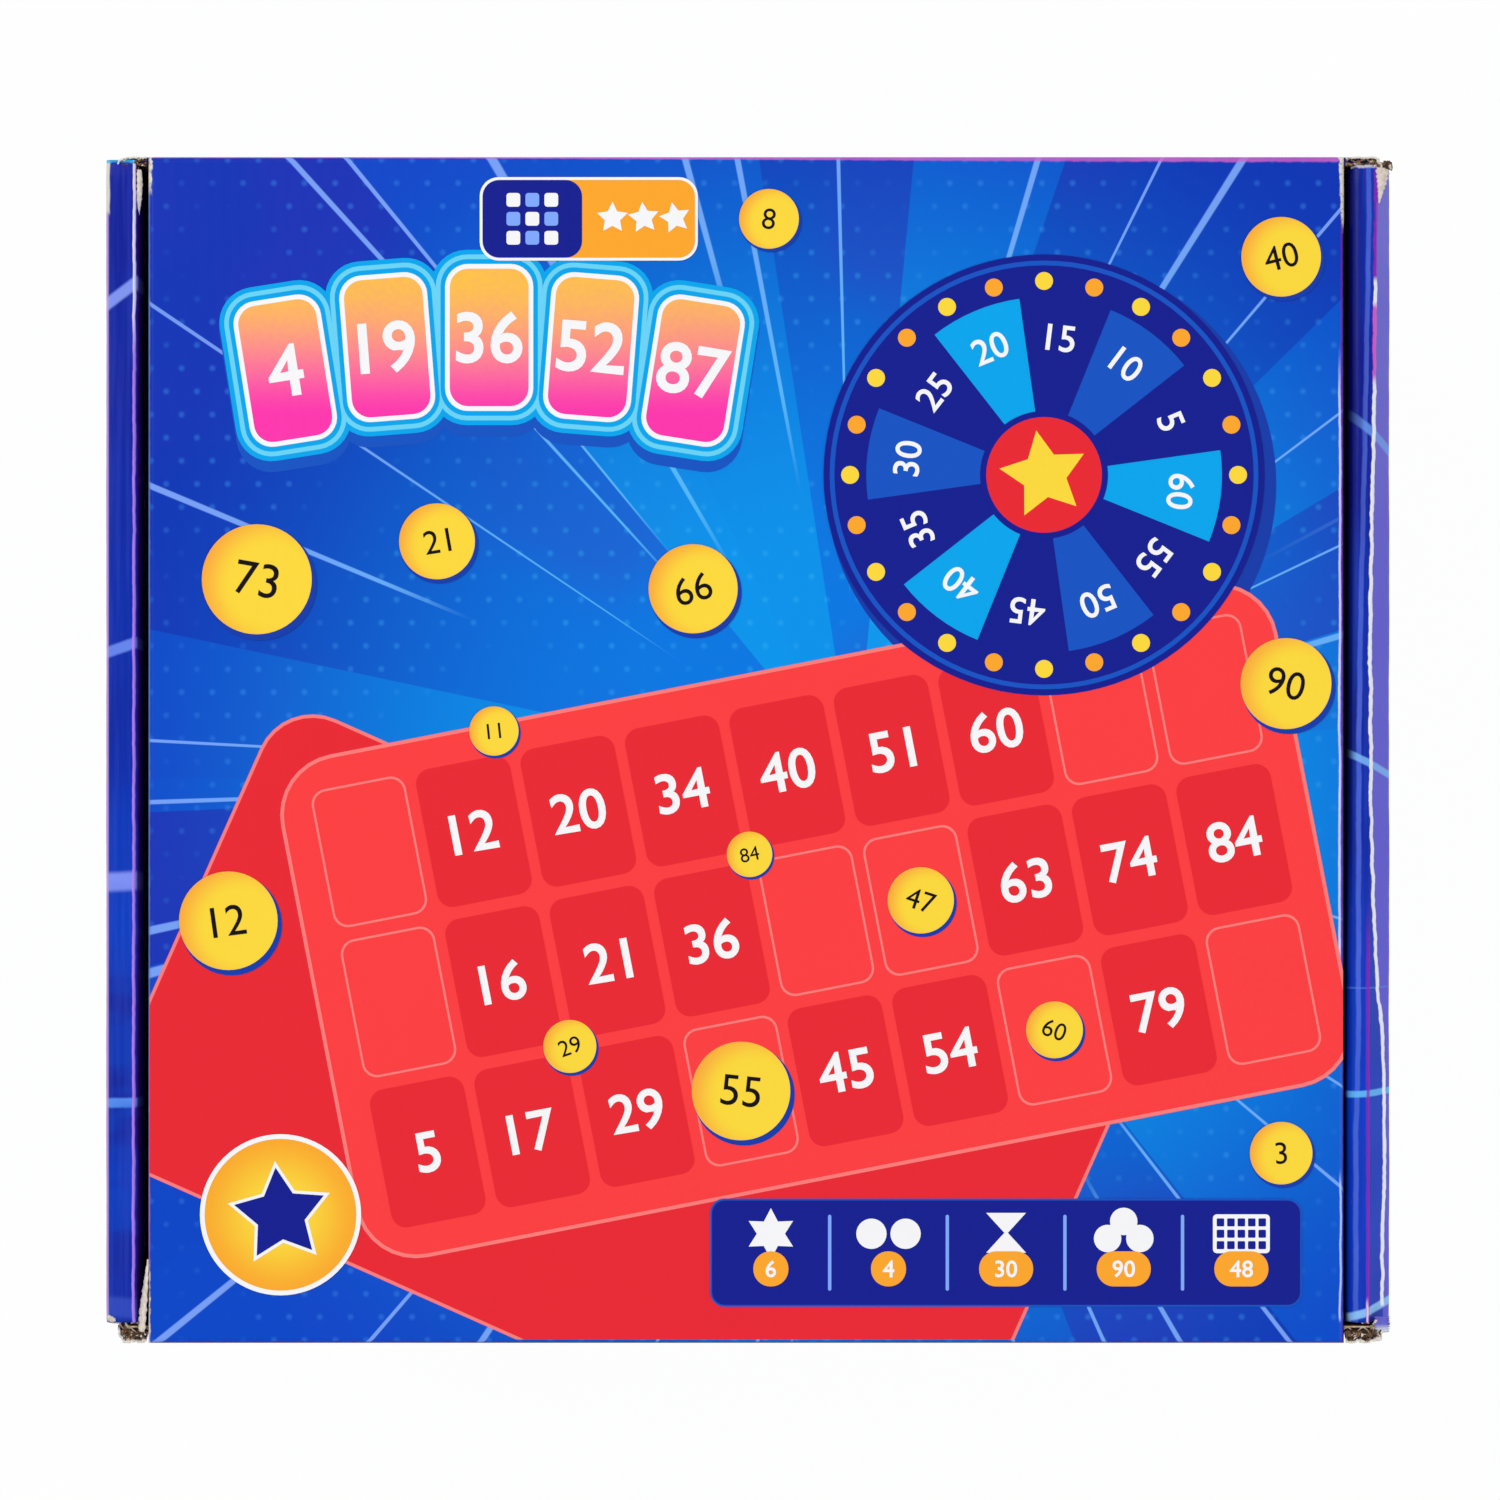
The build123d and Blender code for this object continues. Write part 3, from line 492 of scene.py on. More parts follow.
def flute_look(name, pale, dark, hollow_shade=0.75):
    """Bare board that has been crushed: brown paper, with painted shade, nearly black, in patches where its
    hollows lie.
    """
    look = Look(name, roughness=0.85, specular=0.2)
    look.colour = raw_paper(look, pale, dark)
    # Painted shade: dark patches where the crumpled paper's hollows lie
    look.lay(look.step(look.noise(1.5, 3.0, shift=4.0), 0.42, 0.56) * hollow_shade, dark)
    look.lay(look.step(look.noise(1.1, 2.0, shift=12.0), 0.58, 0.64), srgb(226, 214, 204))
    return look.finish(look.noise(0.5, 4.0), 0.12, 0.7)


KRAFT_INSIDE = flute_look("kraft_inside", KRAFT, TAN)
CRUSHED_FLUTES = flute_look("crushed_flutes", srgb(176, 138, 104), srgb(44, 28, 22))
TORN_PAPER = flute_look("torn_paper", srgb(250, 244, 234), srgb(206, 192, 178), hollow_shade=0.35)


def torn_print(name, end):
    """Printed paper whose top is torn down to the bare fibres."""
    look = Look(name, roughness=0.5, specular=0.1)
    x, y, z = look.position()
    torn = (z + (look.noise(1.3, 3.0) - 0.5) * 5.0 - TOP + 2.6) / 1.8
    look.colour = ray_print(look, x, y + (TOP - z) * end)
    fray(look, torn, (150, 120, 200), 0.5)
    return look.finish(look.noise(0.5, 4.0), 0.1, 0.6)


def plastic(name, colour, second, roughness, coat=0.25):
    """Moulded plastic: slow changes of tone, and a faint skin texture."""
    look = Look(name, roughness, coat=coat, coat_roughness=0.08)
    tone = look.noise(16.0, 2.0) * 0.75 + look.noise(2.2, 3.0, shift=5.0) * 0.25
    look.colour = look.mix(look.step(tone, 0.35, 0.65), colour, second)
    look.roughen(look.noise(3.0, 3.0, shift=8.0) * 0.16 + (roughness - 0.06))
    return look.finish(look.noise(1.1, 2.0) * 0.7 + look.noise(0.25, 2.0) * 0.3, 0.03)


def brushed_steel(name):
    look = Look(name, roughness=0.3)
    look.surface.inputs["Metallic"].default_value = 1.0
    grain = look.noise(0.35, 3.0, stretch=(6, 0.6, 6))
    look.colour = look.mix(grain, srgb(150, 152, 158), srgb(206, 208, 212))
    look.roughen(grain * 0.2 + 0.2)
    return look.finish(grain, 0.02, 0.4)


def paper_look(name, colour, dark, grain):
    look = Look(name, roughness=0.7, specular=0.25)
    fibres = look.step(look.noise(0.5, 4.0, stretch=(1, 0.4, 1)), 0.3, 0.75)
    look.colour = look.mix(fibres * grain, colour, dark)
    return look.finish(look.noise(0.4, 3.0) + look.noise(14.0, 2.0) * 2.0, 0.04)


def card_look(name):
    """A pile of coated cards: each one's cut edge is a shade of its own, with painted shade in the seams
    between cards.
    """
    look = Look(name, roughness=0.4, specular=0.35)
    cards = (look.position()[2] - box_mm("bingo_cards")[0].z) / 0.52
    shade = look.math("FRACT", look.math("SINE", look.math("FLOOR", cards) * 12.9) * 43.7)
    # Painted shade in the seams between stacked cards
    seam_shade = look.line(look.math("FRACT", cards), 0.0, 0.5)
    look.colour = look.mix(look.noise(3.0, 3.0) * 0.4, srgb(250, 249, 244), srgb(236, 234, 228))
    look.lay(look.fall(abs(look.facing()[2]), 0.4, 0.8),
             look.mix(shade * 0.5 + seam_shade * 0.5, srgb(240, 236, 226), srgb(196, 186, 170)))
    return look.finish(look.noise(6.0, 2.0), 0.03, 0.4)


def ink(name, colour, second=None, low=0.0, high=1.0, centre=None):
    """Printed colour on the board. It may change to a second one along Y, or outwards from a centre."""
    look = Look(name, roughness=0.3, specular=0.1)
    place = look.position()
    mottle = look.noise(1.2, 3.0) * 0.5 + look.noise(18.0, 2.0) * 0.5
    run = place[1]
    if centre:
        off_x, off_y = place[0] - centre[0], place[1] - centre[1]
        run = look.math("SQRT", off_x * off_x + off_y * off_y)
    look.colour = look.mix(look.step(run, low, high), colour, second) if second else colour
    darker = tuple(part * 0.86 for part in colour[:3]) + (1.0,)
    look.lay(look.step(mottle, 0.3, 0.75) * 0.3, look.mix(0.5, look.colour, darker))
    return look.finish(washboard(look, place[0]), 0.05)


INKS = {}


def get_ink(name):
    """One of the plain printed colours, made the first time that it is asked for."""
    if name not in INKS:
        INKS[name] = ink("ink_" + name, INK_COLOURS[name])
    return INKS[name]


# Shapes of print. Each is a list of (x, y) in millimetres, counter-clockwise round its own middle.
def around(centre, reach, angle):
    """The point at that distance and angle from a centre."""
    return centre[0] + reach * math.cos(angle), centre[1] + reach * math.sin(angle)


def disc(radius, count=56):
    return [around((0, 0), radius, TAU * i / count) for i in range(count)]


def rounded(width, height, radius, count=8):
    points = []
    for quarter, (sx, sy) in enumerate(((1, 1), (-1, 1), (-1, -1), (1, -1))):
        corner = (sx * (width / 2 - radius), sy * (height / 2 - radius))
        points += [around(corner, radius, (quarter + i / count) * TAU / 4) for i in range(count + 1)]
    return points


def star(radius, inner_share=0.5, points=5):
    return [around((0, 0), radius * (inner_share if i % 2 else 1.0), TAU / 4 + TAU * i / (2 * points))
            for i in range(2 * points)]


def placed(outline, centre, turn=0.0):
    """An outline turned by that many degrees, then moved."""
    c, s = math.cos(math.radians(turn)), math.sin(math.radians(turn))
    return [(centre[0] + x * c - y * s, centre[1] + x * s + y * c) for x, y in outline]


def clipped(outline, low, high):
    """The part of an outline that lies in a rectangle."""
    for axis, limit, sign in ((0, low[0], 1), (0, high[0], -1), (1, low[1], 1), (1, high[1], -1)):
        kept = []
        for a, b in zip(outline, outline[1:] + outline[:1]):
            inside_a, inside_b = sign * (a[axis] - limit) >= 0, sign * (b[axis] - limit) >= 0
            if inside_a:
                kept.append(a)
            if inside_a != inside_b:
                share = (limit - a[axis]) / (b[axis] - a[axis])
                kept.append((a[0] + share * (b[0] - a[0]), a[1] + share * (b[1] - a[1])))
        outline = kept
        if not outline:
            break
    return outline


GLYPHS = {}


def outline_loops(mesh):
    """The closed lines of a mesh that has only edges, as lists of points."""
    links = {}
    for edge in mesh.edges:
        a, b = edge.vertices
        links.setdefault(a, []).append(b)
        links.setdefault(b, []).append(a)
    loops = []
    while links:
        here = next(iter(links))
        loop = []
        while here in links:
            loop.append(np.array(mesh.vertices[here].co[:2]))
            ahead = [n for n in links.pop(here) if n in links]
            here = ahead[0] if ahead else None
        loops.append([p for p, last in zip(loop, loop[-1:] + loop[:-1]) if np.linalg.norm(p - last) > 0.012])
    return loops


def signed_area(loop):
    return sum(a[0] * b[1] - b[0] * a[1] for a, b in zip(loop, loop[1:] + loop[:1])) / 2


def holds(loop, point):
    """Whether a closed line goes round a point."""
    inside = False
    for a, b in zip(loop, loop[1:] + loop[:1]):
        if (a[1] > point[1]) != (b[1] > point[1]):
            if point[0] < a[0] + (point[1] - a[1]) / (b[1] - a[1]) * (b[0] - a[0]):
                inside = not inside
    return inside


def bolder(loop, amount):
    """A closed line moved outwards by that much, or inwards where it is negative."""
    amount *= 1 if signed_area(loop) > 0 else -1
    moved = []
    for back, here, ahead in zip(loop[-1:] + loop[:-1], loop, loop[1:] + loop[:1]):
        first, second = here - back, ahead - here
        first, second = first / np.linalg.norm(first), second / np.linalg.norm(second)
        out = np.array((first[1] + second[1], -first[0] - second[0]))
        length = max(np.linalg.norm(out), 0.9)
        moved.append(here + out / length * amount * min(2.0 / length, 1.5))
    return moved


def glyph(text, weight=0.0):
    """Figures in Blender's own font, one millimetre tall and centred, as points and triangles.

    weight makes their strokes bolder, by moving each outline away from its ink.
    """
    key = (text, weight)
    if key not in GLYPHS:
        curve = bpy.data.curves.new("figures", "FONT")
        curve.body = text
        curve.fill_mode = "NONE"
        curve.resolution_u = 5
        curve.space_character = 1.0 + 1.6 * weight
        holder = bpy.data.objects.new("figures", curve)
        mesh = bpy.data.meshes.new_from_object(holder)
        loops = outline_loops(mesh)
        points, faces = [], []
        for loop in loops:
            others = [other for other in loops if other is not loop]
            if any(holds(other, loop[0]) for other in others):
                continue  # a hole, which goes with the line round it
            holes = [bolder(other, -weight) for other in others if holds(loop, other[0])]
            island = [bolder(loop, weight)] + holes
            start = len(points)
            rings = [[Vector((*p, 0)) for p in ring] for ring in island]
            faces += [[start + i for i in face] for face in tessellate_polygon(rings)]
            points += [p for ring in island for p in ring]
        points = np.array(points)
        low, high = points.min(0), points.max(0)
        points = (points - (low + high) / 2) / (high[1] - low[1])
        GLYPHS[key] = (points, faces)
        bpy.data.objects.remove(holder)
        bpy.data.meshes.remove(mesh)
        bpy.data.curves.remove(curve)
    return GLYPHS[key]


def mesh_piece(name, points, faces, materials, body, inks=None):
    """A mesh object from points in millimetres, riding on a body. inks gives each flat face's material."""
    mesh = bpy.data.meshes.new(name)
    mesh.from_pydata([Vector(p) * MM for p in points], [], faces)
    for material in materials:
        mesh.materials.append(material)
    if inks:
        mesh.polygons.foreach_set("material_index", inks)
    else:
        mesh.polygons.foreach_set("use_smooth", [True] * len(mesh.polygons))
    mesh.update()
    piece = bpy.data.objects.new(name, mesh)
    bpy.context.scene.collection.objects.link(piece)
    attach(piece, body)
    return piece


class Print:
    """Flat printed shapes on a face. Later layers lie a hair above earlier ones."""

    layer_step = 0.02
    shape_step = 0.0024  # between shapes of one layer, which may overlap

    def __init__(self, name, height, low=(-1e3, -1e3), high=(1e3, 1e3)):
        self.name, self.height, self.low, self.high = name, height, low, high
        self.points, self.faces, self.inks, self.materials = [], [], [], []
        self.made = 0

    def add(self, points, faces, layer, material):
        if isinstance(material, str):
            material = get_ink(material)
        if material not in self.materials:
            self.materials.append(material)
        start = len(self.points)
        z = self.height + self.layer_step * (layer + 1) + self.shape_step * (self.made % 8)
        self.made += 1
        self.points += [(x, y, z) for x, y in points]
        self.faces += [tuple(start + i for i in face) for face in faces]
        self.inks += [self.materials.index(material)] * len(faces)

    def shape(self, outline, spot, layer, material, turn=0.0):
        outline = clipped(placed(outline, spot, turn), self.low, self.high)
        if len(outline) > 2:
            self.add(outline, [range(len(outline))], layer, material)

    def figures(self, text, spot, size, layer, material, turn=0.0, weight=0.0):
        points, faces = glyph(str(text), weight)
        self.add(placed([tuple(p * size) for p in points], spot, turn), faces, layer, material)

    def build(self, body, slot):
        mesh_piece(self.name, self.points, self.faces, self.materials, body, self.inks)


def print_lid():
    """The lid's own design: number tiles, a game wheel, a red ticket, loose balls, a strip and a badge."""
    margin_x, margin_y = 0.35, 0.9
    page = Print("lid_print", TOP, (LID_LOW.x + margin_x, LID_LOW.y + margin_y),
                 (LID_HIGH.x - margin_x, LID_HIGH.y - margin_y))

    # A red ticket of three rows over a second one
    page.shape(rounded(196, 104, 12), (-30, -76), 0, "pale_red", -24)
    page.shape(rounded(194.6, 102.6, 11.4), (-30, -76), 1, "deep_red", -24)
    middle, tilt = (14, -36), 11.0
    page.shape(rounded(214, 108, 13), middle, 2, "pale_red", tilt)
    page.shape(rounded(212.4, 106.4, 12.2), middle, 3, "red", tilt)
    shuffle = random.Random(4)
    numbers = [sorted(shuffle.sample(range(max(1, 10 * column), 10 * column + 10), 3)) for column in range(9)]
    for row in range(3):
        filled = set(shuffle.sample(range(9), 6))
        for column in range(9):
            spot, = placed([((column - 4) * 22.44, (1 - row) * 32.24)], middle, tilt)
            cell = rounded(20.2, 29.6, 3.2)
            page.shape(cell, spot, 4, "deep_red" if column in filled else "pale_red", tilt)
            if column in filled:
                page.figures(numbers[column][row], spot, 8.6, 6, "white", tilt, 0.016)
            else:
                page.shape(rounded(19.2, 28.6, 2.8), spot, 5, "red", tilt)

    # Tiles with numbers, on an arc
    tiles = [(number, -98 + i * 21.5, 80 + 7.0 * math.sin(math.pi * i / 4), 9 - 4.5 * i)
             for i, number in enumerate((4, 19, 36, 52, 87))]
    for _, x, y, turn in tiles:
        page.shape(rounded(24.5, 38.5, 7.5), (x, y - 1.6), 0, "royal", turn)
        page.shape(rounded(24.5, 37, 7.5), (x, y), 1, "cyan", turn)
        page.shape(rounded(22.5, 35, 6.6), (x, y), 2, "pale_cyan", turn)
        page.shape(rounded(20.5, 33, 5.6), (x, y), 3, "cyan", turn)
    gradient = ink("ink_tile", printed(255, 60, 176), srgb(255, 196, 70), 70.0, 100.0)
    for number, x, y, turn in tiles:
        page.shape(rounded(18.6, 31, 4.8), (x, y), 4, "white", turn)
        page.shape(rounded(16.6, 29, 3.9), (x, y), 5, gradient, turn)
        page.figures(number, (x, y), 11.0, 6, "white", turn, 0.017)

    # A wheel of wedges with a rim of lamps
    hub = (62, 58)
    page.shape(disc(47.5, 96), (hub[0] + 1.5, hub[1] - 2.0), 0, "shadow")
    for layer, radius, colour in ((7, 46.5, "navy"), (8, 45.2, "royal"), (9, 44.2, "navy")):
        page.shape(disc(radius, 96), hub, layer, colour)
    for i in range(12):
        if i % 2:
            wedge = [(0, 0)] + [around((0, 0), 37.5, TAU * (i + s / 8) / 12) for s in range(9)]
            page.shape(wedge, hub, 10, "royal" if i % 4 == 1 else "cyan", 8)
        arm = math.radians(8 + 30 * (i + 0.5))
        page.figures(5 * (i + 1), around(hub, 29, arm), 5.6, 11, "white", math.degrees(arm) - 90, 0.01)
    for i in range(24):
        page.shape(disc(1.9, 20), around(hub, 40.9, TAU * i / 24), 10, "amber" if i % 2 else "yellow")
    page.shape(disc(13.5), hub, 11, "navy")
    page.shape(disc(12.2), hub, 12, "deep_red")
    page.shape(star(9.5), hub, 13, "yellow", 10)

    # Loose balls: a shadow, a yellow disc that is warmer at one side, and a number
    for number, x, y, radius, turn in (
        (8, 4, 112, 6.3, -8), (40, 112, 104, 8.4, 14), (73, -104, 36, 11.6, -10), (21, -66, 44, 8.0, 10),
        (66, -12, 34, 9.4, 16), (90, 113, 14, 9.6, -14), (12, -110, -36, 10.4, 8),
        (55, -1.9, -71.9, 10.4, -6), (3, 112, -85, 6.6, 4), (29, -38, -62.5, 5.6, 20),
        (47, 36, -31.7, 7.0, -18), (84, -0.1, -22, 4.8, 12), (60, 64.2, -59, 6.0, -20), (11, -54, 4, 5.2, 6),
    ):
        page.shape(disc(radius * 1.03), (x + radius * 0.06, y - radius * 0.08), 7, "shadow")
        glow = (x + radius * 0.25, y - radius * 0.1)
        yellow = ink(f"ink_ball_{number}", INK_COLOURS["yellow"], srgb(252, 166, 62),
                     radius * 0.7, radius * 1.35, glow)
        page.shape(disc(radius), (x, y), 8, yellow)
        page.figures(number, (x, y), radius * (0.62 if number > 9 else 0.7), 9, "black", turn)

    # A strip of game facts: plain shapes over amber pills with numbers
    left, width, middle_y = -8.0, 124.0, -106.0
    page.shape(rounded(width + 0.8, 22.8, 3.0), (left + width / 2, middle_y), 7, "royal")
    page.shape(rounded(width, 22.0, 2.7), (left + width / 2, middle_y), 8, "navy")
    facts = (
        (6, [(star(5.4, 0.55, 6), 0, 0)]),
        (4, [(disc(3.2, 28), -3.6, 0), (disc(3.2, 28), 3.6, 0)]),
        (30, [([(4.2, 4.4), (0, -0.2), (-4.2, 4.4)], 0, 0), ([(-4.2, -4.0), (4.2, -4.0), (0, 0.6)], 0, 0)]),
        (90, [(disc(2.9, 28), dx, dy) for dx, dy in ((-3.4, -1.0), (3.4, -1.0), (0, 2.6))]),
        (48, [(rounded(12, 8.2, 0.8, 3), 0, 0)]),
    )
    for i, (number, icon) in enumerate(facts):
        x, y, pill_y = left + width * (i + 0.5) / 5, middle_y + 4.0, middle_y - 3.4
        for outline, dx, dy in icon:
            page.shape(outline, (x + dx, y + dy), 9, "white")
        if number == 48:
            for k in range(15):
                spot = (x - 4.4 + k // 3 * 2.2, y - 2.4 + k % 3 * 2.4)
                page.shape(rounded(1.6, 1.7, 0.2, 2), spot, 10, "navy")
        page.shape(rounded(11.4 if number > 9 else 7.4, 7.4, 3.6), (x, pill_y), 11, "amber")
        page.figures(number, (x, pill_y), 3.6, 12, "white", weight=0.017)
        if i:
            page.shape(rounded(0.7, 16, 0.3, 2), (left + width * i / 5, middle_y), 9, "pale_blue")

    # A two-colour label without words
    x, y = -34, 112
    page.shape(rounded(46, 17.6, 4.0), (x, y), 7, "white")
    page.shape(rounded(44.8, 16.4, 3.5), (x, y), 8, "amber")
    page.shape(rounded(21, 16.4, 3.5), (x - 11.9, y), 9, "navy")
    for i in range(3):
        page.shape(star(3.4), (x + 5 + 6.6 * i, y + 0.2), 10, "white", 6 * i)
    for i in range(9):
        spot = (x - 15.9 + 4 * (i % 3), y - 4 + 4 * (i // 3))
        page.shape(rounded(2.9, 2.9, 0.6, 3), spot, 10, "pale_blue" if i % 2 else "white")

    # A round badge
    badge = (-99, -98)
    page.shape(disc(17.0, 72), badge, 7, "white")
    page.shape(disc(16.0, 72), badge, 8,
               ink("ink_badge", INK_COLOURS["yellow"], INK_COLOURS["amber"], 4.0, 17.0, badge))
    page.shape(star(11.4, 0.52), badge, 9, "white", 6)
    page.shape(star(10.0, 0.52), badge, 10, "navy", 6)
    page.build("lid", "lid_board")


# Sheets of paper and board
def grid_faces(rows, columns):
    return [
        (r * columns + c, r * columns + c + 1, (r + 1) * columns + c + 1, (r + 1) * columns + c)
        for r in range(rows - 1) for c in range(columns - 1)
    ]


def thicken(piece, thickness, offset=0.0):
    """Makes a surface as thick as its paper or board, in millimetres."""
    sheet = piece.modifiers.new("sheet", "SOLIDIFY")
    sheet.thickness = thickness * MM
    sheet.offset = offset
    return sheet


def waver(value, seed, lengths=(61.0, 23.0, 9.0, 3.7)):
    """A smooth wobble between -1 and 1 along an edge, the same on every run."""
    chooser = random.Random(seed)
    total = 0.0
    for i, length in enumerate(lengths):
        total += math.sin(TAU * (value / length + chooser.random())) / (i + 1.3)
    return total / 2.0


RUN = BEND = 7  # points on each straight part of a path, and on each bend
ROLL_ROWS = 246


def rounded_path(corners, radii):
    """A path through corners whose bends are arcs. It always has the same number of points."""
    path = []
    last = Vector(corners[0])
    for i, radius in enumerate(radii, start=1):
        here = Vector(corners[i])
        back = (Vector(corners[i - 1]) - here).normalized()
        ahead = (Vector(corners[i + 1]) - here).normalized()
        half = back.angle(ahead) / 2
        reach = radius / math.tan(half)
        start, end = here + back * reach, here + ahead * reach
        centre = here + (back + ahead).normalized() * (radius / math.sin(half))
        path += [last.lerp(start, s / RUN) for s in range(RUN)]
        turn = (start - centre).angle_signed(end - centre)
        for s in range(BEND):
            arm = start - centre
            arm.rotate(Matrix.Rotation(-turn * s / BEND, 2))
            path.append(centre + arm)
        last = end
    return path + [last.lerp(Vector(corners[-1]), s / RUN) for s in range(RUN + 1)]


def rolled_wall(node, side, corners, radii, wobble, worn, seed, tracks, lines):
    """A side wall's outer layer with its rolled edge, one sheet of board as thick as the real one.

    corners go from the foot of the wall up and over to the inside. wobble is how far each corner may
    wander inwards, and worn how bare each bend is. tracks gives where a corner lies along the wall, as
    (y, x) points, and lines does so for lines that the material draws.
    """
    low, high = box_mm(node)
    cut_y = ROLL_END[side]
    points, wear = [], []
    off = {name: [] for name in lines}
    for i in range(ROLL_ROWS):
        y = low.y + (high.y - low.y) * i / (ROLL_ROWS - 1)
        near_end = max(0.0, 1 - (y - low.y) / 3.5) + max(0.0, 1 - (cut_y - y) / 3.5) * (y < cut_y)
        moved = []
        for k, (x, z) in enumerate(corners):
            if k in tracks:
                x = float(np.interp(y, *zip(*tracks[k])))
            dip = 0.5 + 0.5 * waver(y, seed + 7 * k)
            sway = 0.5 + 0.5 * waver(y, seed + 7 * k + 3)
            sunk = 0.5 * near_end if z > TOP - 1 else 0
            moved.append((x - wobble[k][0] * sway, z - wobble[k][1] * dip - sunk))
        path = rounded_path(moved, radii)
        points += [(side * p.x, y, p.y) for p in path]
        row_wear = [0.0] * len(path)
        for k, bare in enumerate(worn):
            middle = (k + 1) * RUN + (k + 0.5) * BEND
            amount = bare * (0.75 + 0.5 * waver(y, seed + 50 + k, (83.0, 31.0, 7.0)))
            for s, so_far in enumerate(row_wear):
                row_wear[s] = max(so_far, amount * (1 - abs(s - middle) / (BEND * 0.62)))
        wear += row_wear
        for name, track in lines.items():
            line_x = float(np.interp(y, *zip(*track))) + 0.12 * waver(y, seed + 90, (17.0, 7.0, 3.1, 1.7))
            off[name] += [p.x - line_x for p in path]
    top_start, inside_start = RUN + BEND + RUN // 2, 2 * (RUN + BEND) + RUN
    faces = []
    for face in grid_faces(ROLL_ROWS, len(path)):
        _, y, z = points[face[2]]
        column = face[0] % len(path)
        past_top = y > cut_y and column >= top_start
        past_inside = y > LID_HIGH.y - 2.65 and column >= inside_start and z < TOP - 1.5
        if not past_top and not past_inside:
            faces.append(face[::-side])
    materials = [roll_look(node + "_print", side), KRAFT_INSIDE, CRUSHED_FLUTES]
    piece = mesh_piece(node + "_roll", points, faces, materials, "carton")
    for name, values in {"wear": wear, **off}.items():
        piece.data.attributes.new(name, "FLOAT", "POINT").data.foreach_set("value", values)
    sheet = thicken(piece, BOARD, -1.0)
    sheet.material_offset, sheet.material_offset_rim = 1, 2
    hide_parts(node)


def crushed_corner(name, side, end, seed):
    """The crumpled top of the fold between an end wall and its ear: two faces of paper, flutes between."""
    start_x = (LID_HIGH.x if side > 0 else -LID_LOW.x) + 0.4
    wall_y = (LID_HIGH.y if end > 0 else LID_LOW.y + 1.9) - end * BOARD / 2
    fold_x, radius = FOLD_OUTSIDE - 2.4, 2.4 - BOARD / 2
    # The board's mid-line: x and y, and the direction out of it
    path = [(start_x + (fold_x - start_x) * i / 14, wall_y, 0.0, float(end)) for i in range(14)]
    for i in range(15):
        sine, cosine = math.sin(TAU / 4 * i / 14), math.cos(TAU / 4 * i / 14)
        path.append((fold_x + radius * sine, wall_y - end * radius * (1 - cosine), sine, end * cosine))
    lengths = [0.0]
    for a, b in zip(path, path[1:]):
        lengths.append(lengths[-1] + math.hypot(b[0] - a[0], b[1] - a[1]))
    columns, levels = 60, 9
    foot_z, limit_y = TOP - 5.2, LID_HIGH.y - 0.18
    flare = 0.0 if end > 0 else 1.8
    for part, shift, swing, thickness in (
        ("outer", 0.68, 0.0, 0.34), ("flutes", 0.0, 0.5, 0.22), ("inner", -0.68, 0.0, 0.34),
    ):
        points = []
        for level in range(levels):
            rise = level / (levels - 1)
            for i in range(columns):
                s = lengths[-1] * i / (columns - 1)
                x, y, out_x, out_y = (float(np.interp(s, lengths, values)) for values in zip(*path))
                crumple = 0.75 * waver(s * 3.1 + 20 * rise, seed + len(part), (9.0, 5.0, 2.9, 1.6))
                out = shift + swing * math.sin(TAU * s / FLUTE) * (1 - 0.3 * rise) + crumple * rise ** 2
                top = TOP - 0.28 - 0.4 * waver(s * 2.3, seed + 3 * len(part), (7.0, 3.1, 1.7, 1.1))
                x = min(x + out_x * out, FOLD_OUTSIDE + 0.4)
                y += out_y * out + end * flare * rise ** 2
                points.append((side * x, max(-limit_y, min(limit_y, y)), foot_z + (top - foot_z) * rise))
        faces = grid_faces(levels, columns)
        material = torn_print(name + "_paper", end) if part == "outer" else CRUSHED_FLUTES
        thicken(mesh_piece(f"{name}_{part}", points, faces, [material], "carton"), thickness)


def torn_strip(name, seed, tilt, spine, widths,
               material=TORN_PAPER, body="carton", curl=0.35):
    """A torn sliver of paper along a line of points, ragged at its edges and slightly curled."""
    count, across = 40, 5
    tilt = Vector(tilt)
    points = []
    for i in range(count):
        share = i / (count - 1) * (len(spine) - 1)
        k = min(int(share), len(spine) - 2)
        t = share - k
        first, second = Vector(spine[k]), Vector(spine[k + 1])
        width = widths[k] * (1 - t) + widths[k + 1] * t
        sideways = (second - first).normalized().cross(tilt).normalized()
        for j in range(across):
            off = (j / (across - 1) - 0.5) * width
            if j in (0, across - 1):
                off *= 1 + 0.35 * waver(i * 1.7, seed + j, (9.0, 4.0, 2.3))
            lift = curl * width * (1 - (2 * j / (across - 1) - 1) ** 2) * 0.5
            lift += 0.1 * waver(i * 2.1, seed + 9, (11.0, 5.0, 3.0))
            points.append(first.lerp(second, t) + sideways * off + tilt * lift)
    thicken(mesh_piece(name, points, grid_faces(count, across), [material], body), 0.22)


def dress(node, material):
    mesh = nodes[node].data
    mesh.materials.clear()
    mesh.materials.append(material)


# The carton's own nodes: each sheet of board gets its print, its bare inside and its cut edges
for node, *sheet in (
    ("lid_panel", Z, Y, 1), ("base_panel", Z, Y, -1), ("hinge_wall", Y, Z, 1), ("front_wall", Y, Z, -1),
    ("lid_front_flap", Y, Z, -1), ("lid_left_dust_flap", X, Y, -1), ("lid_right_dust_flap", X, Y, 1),
    ("left_wall_inner", X, Y, 0), ("right_wall_inner", X, Y, 0),
    ("hinge_wall_ears", X, Z, 0, 1), ("front_wall_ears", X, Z, 0, -1),
):
    dress(node, board_look(node, *sheet))

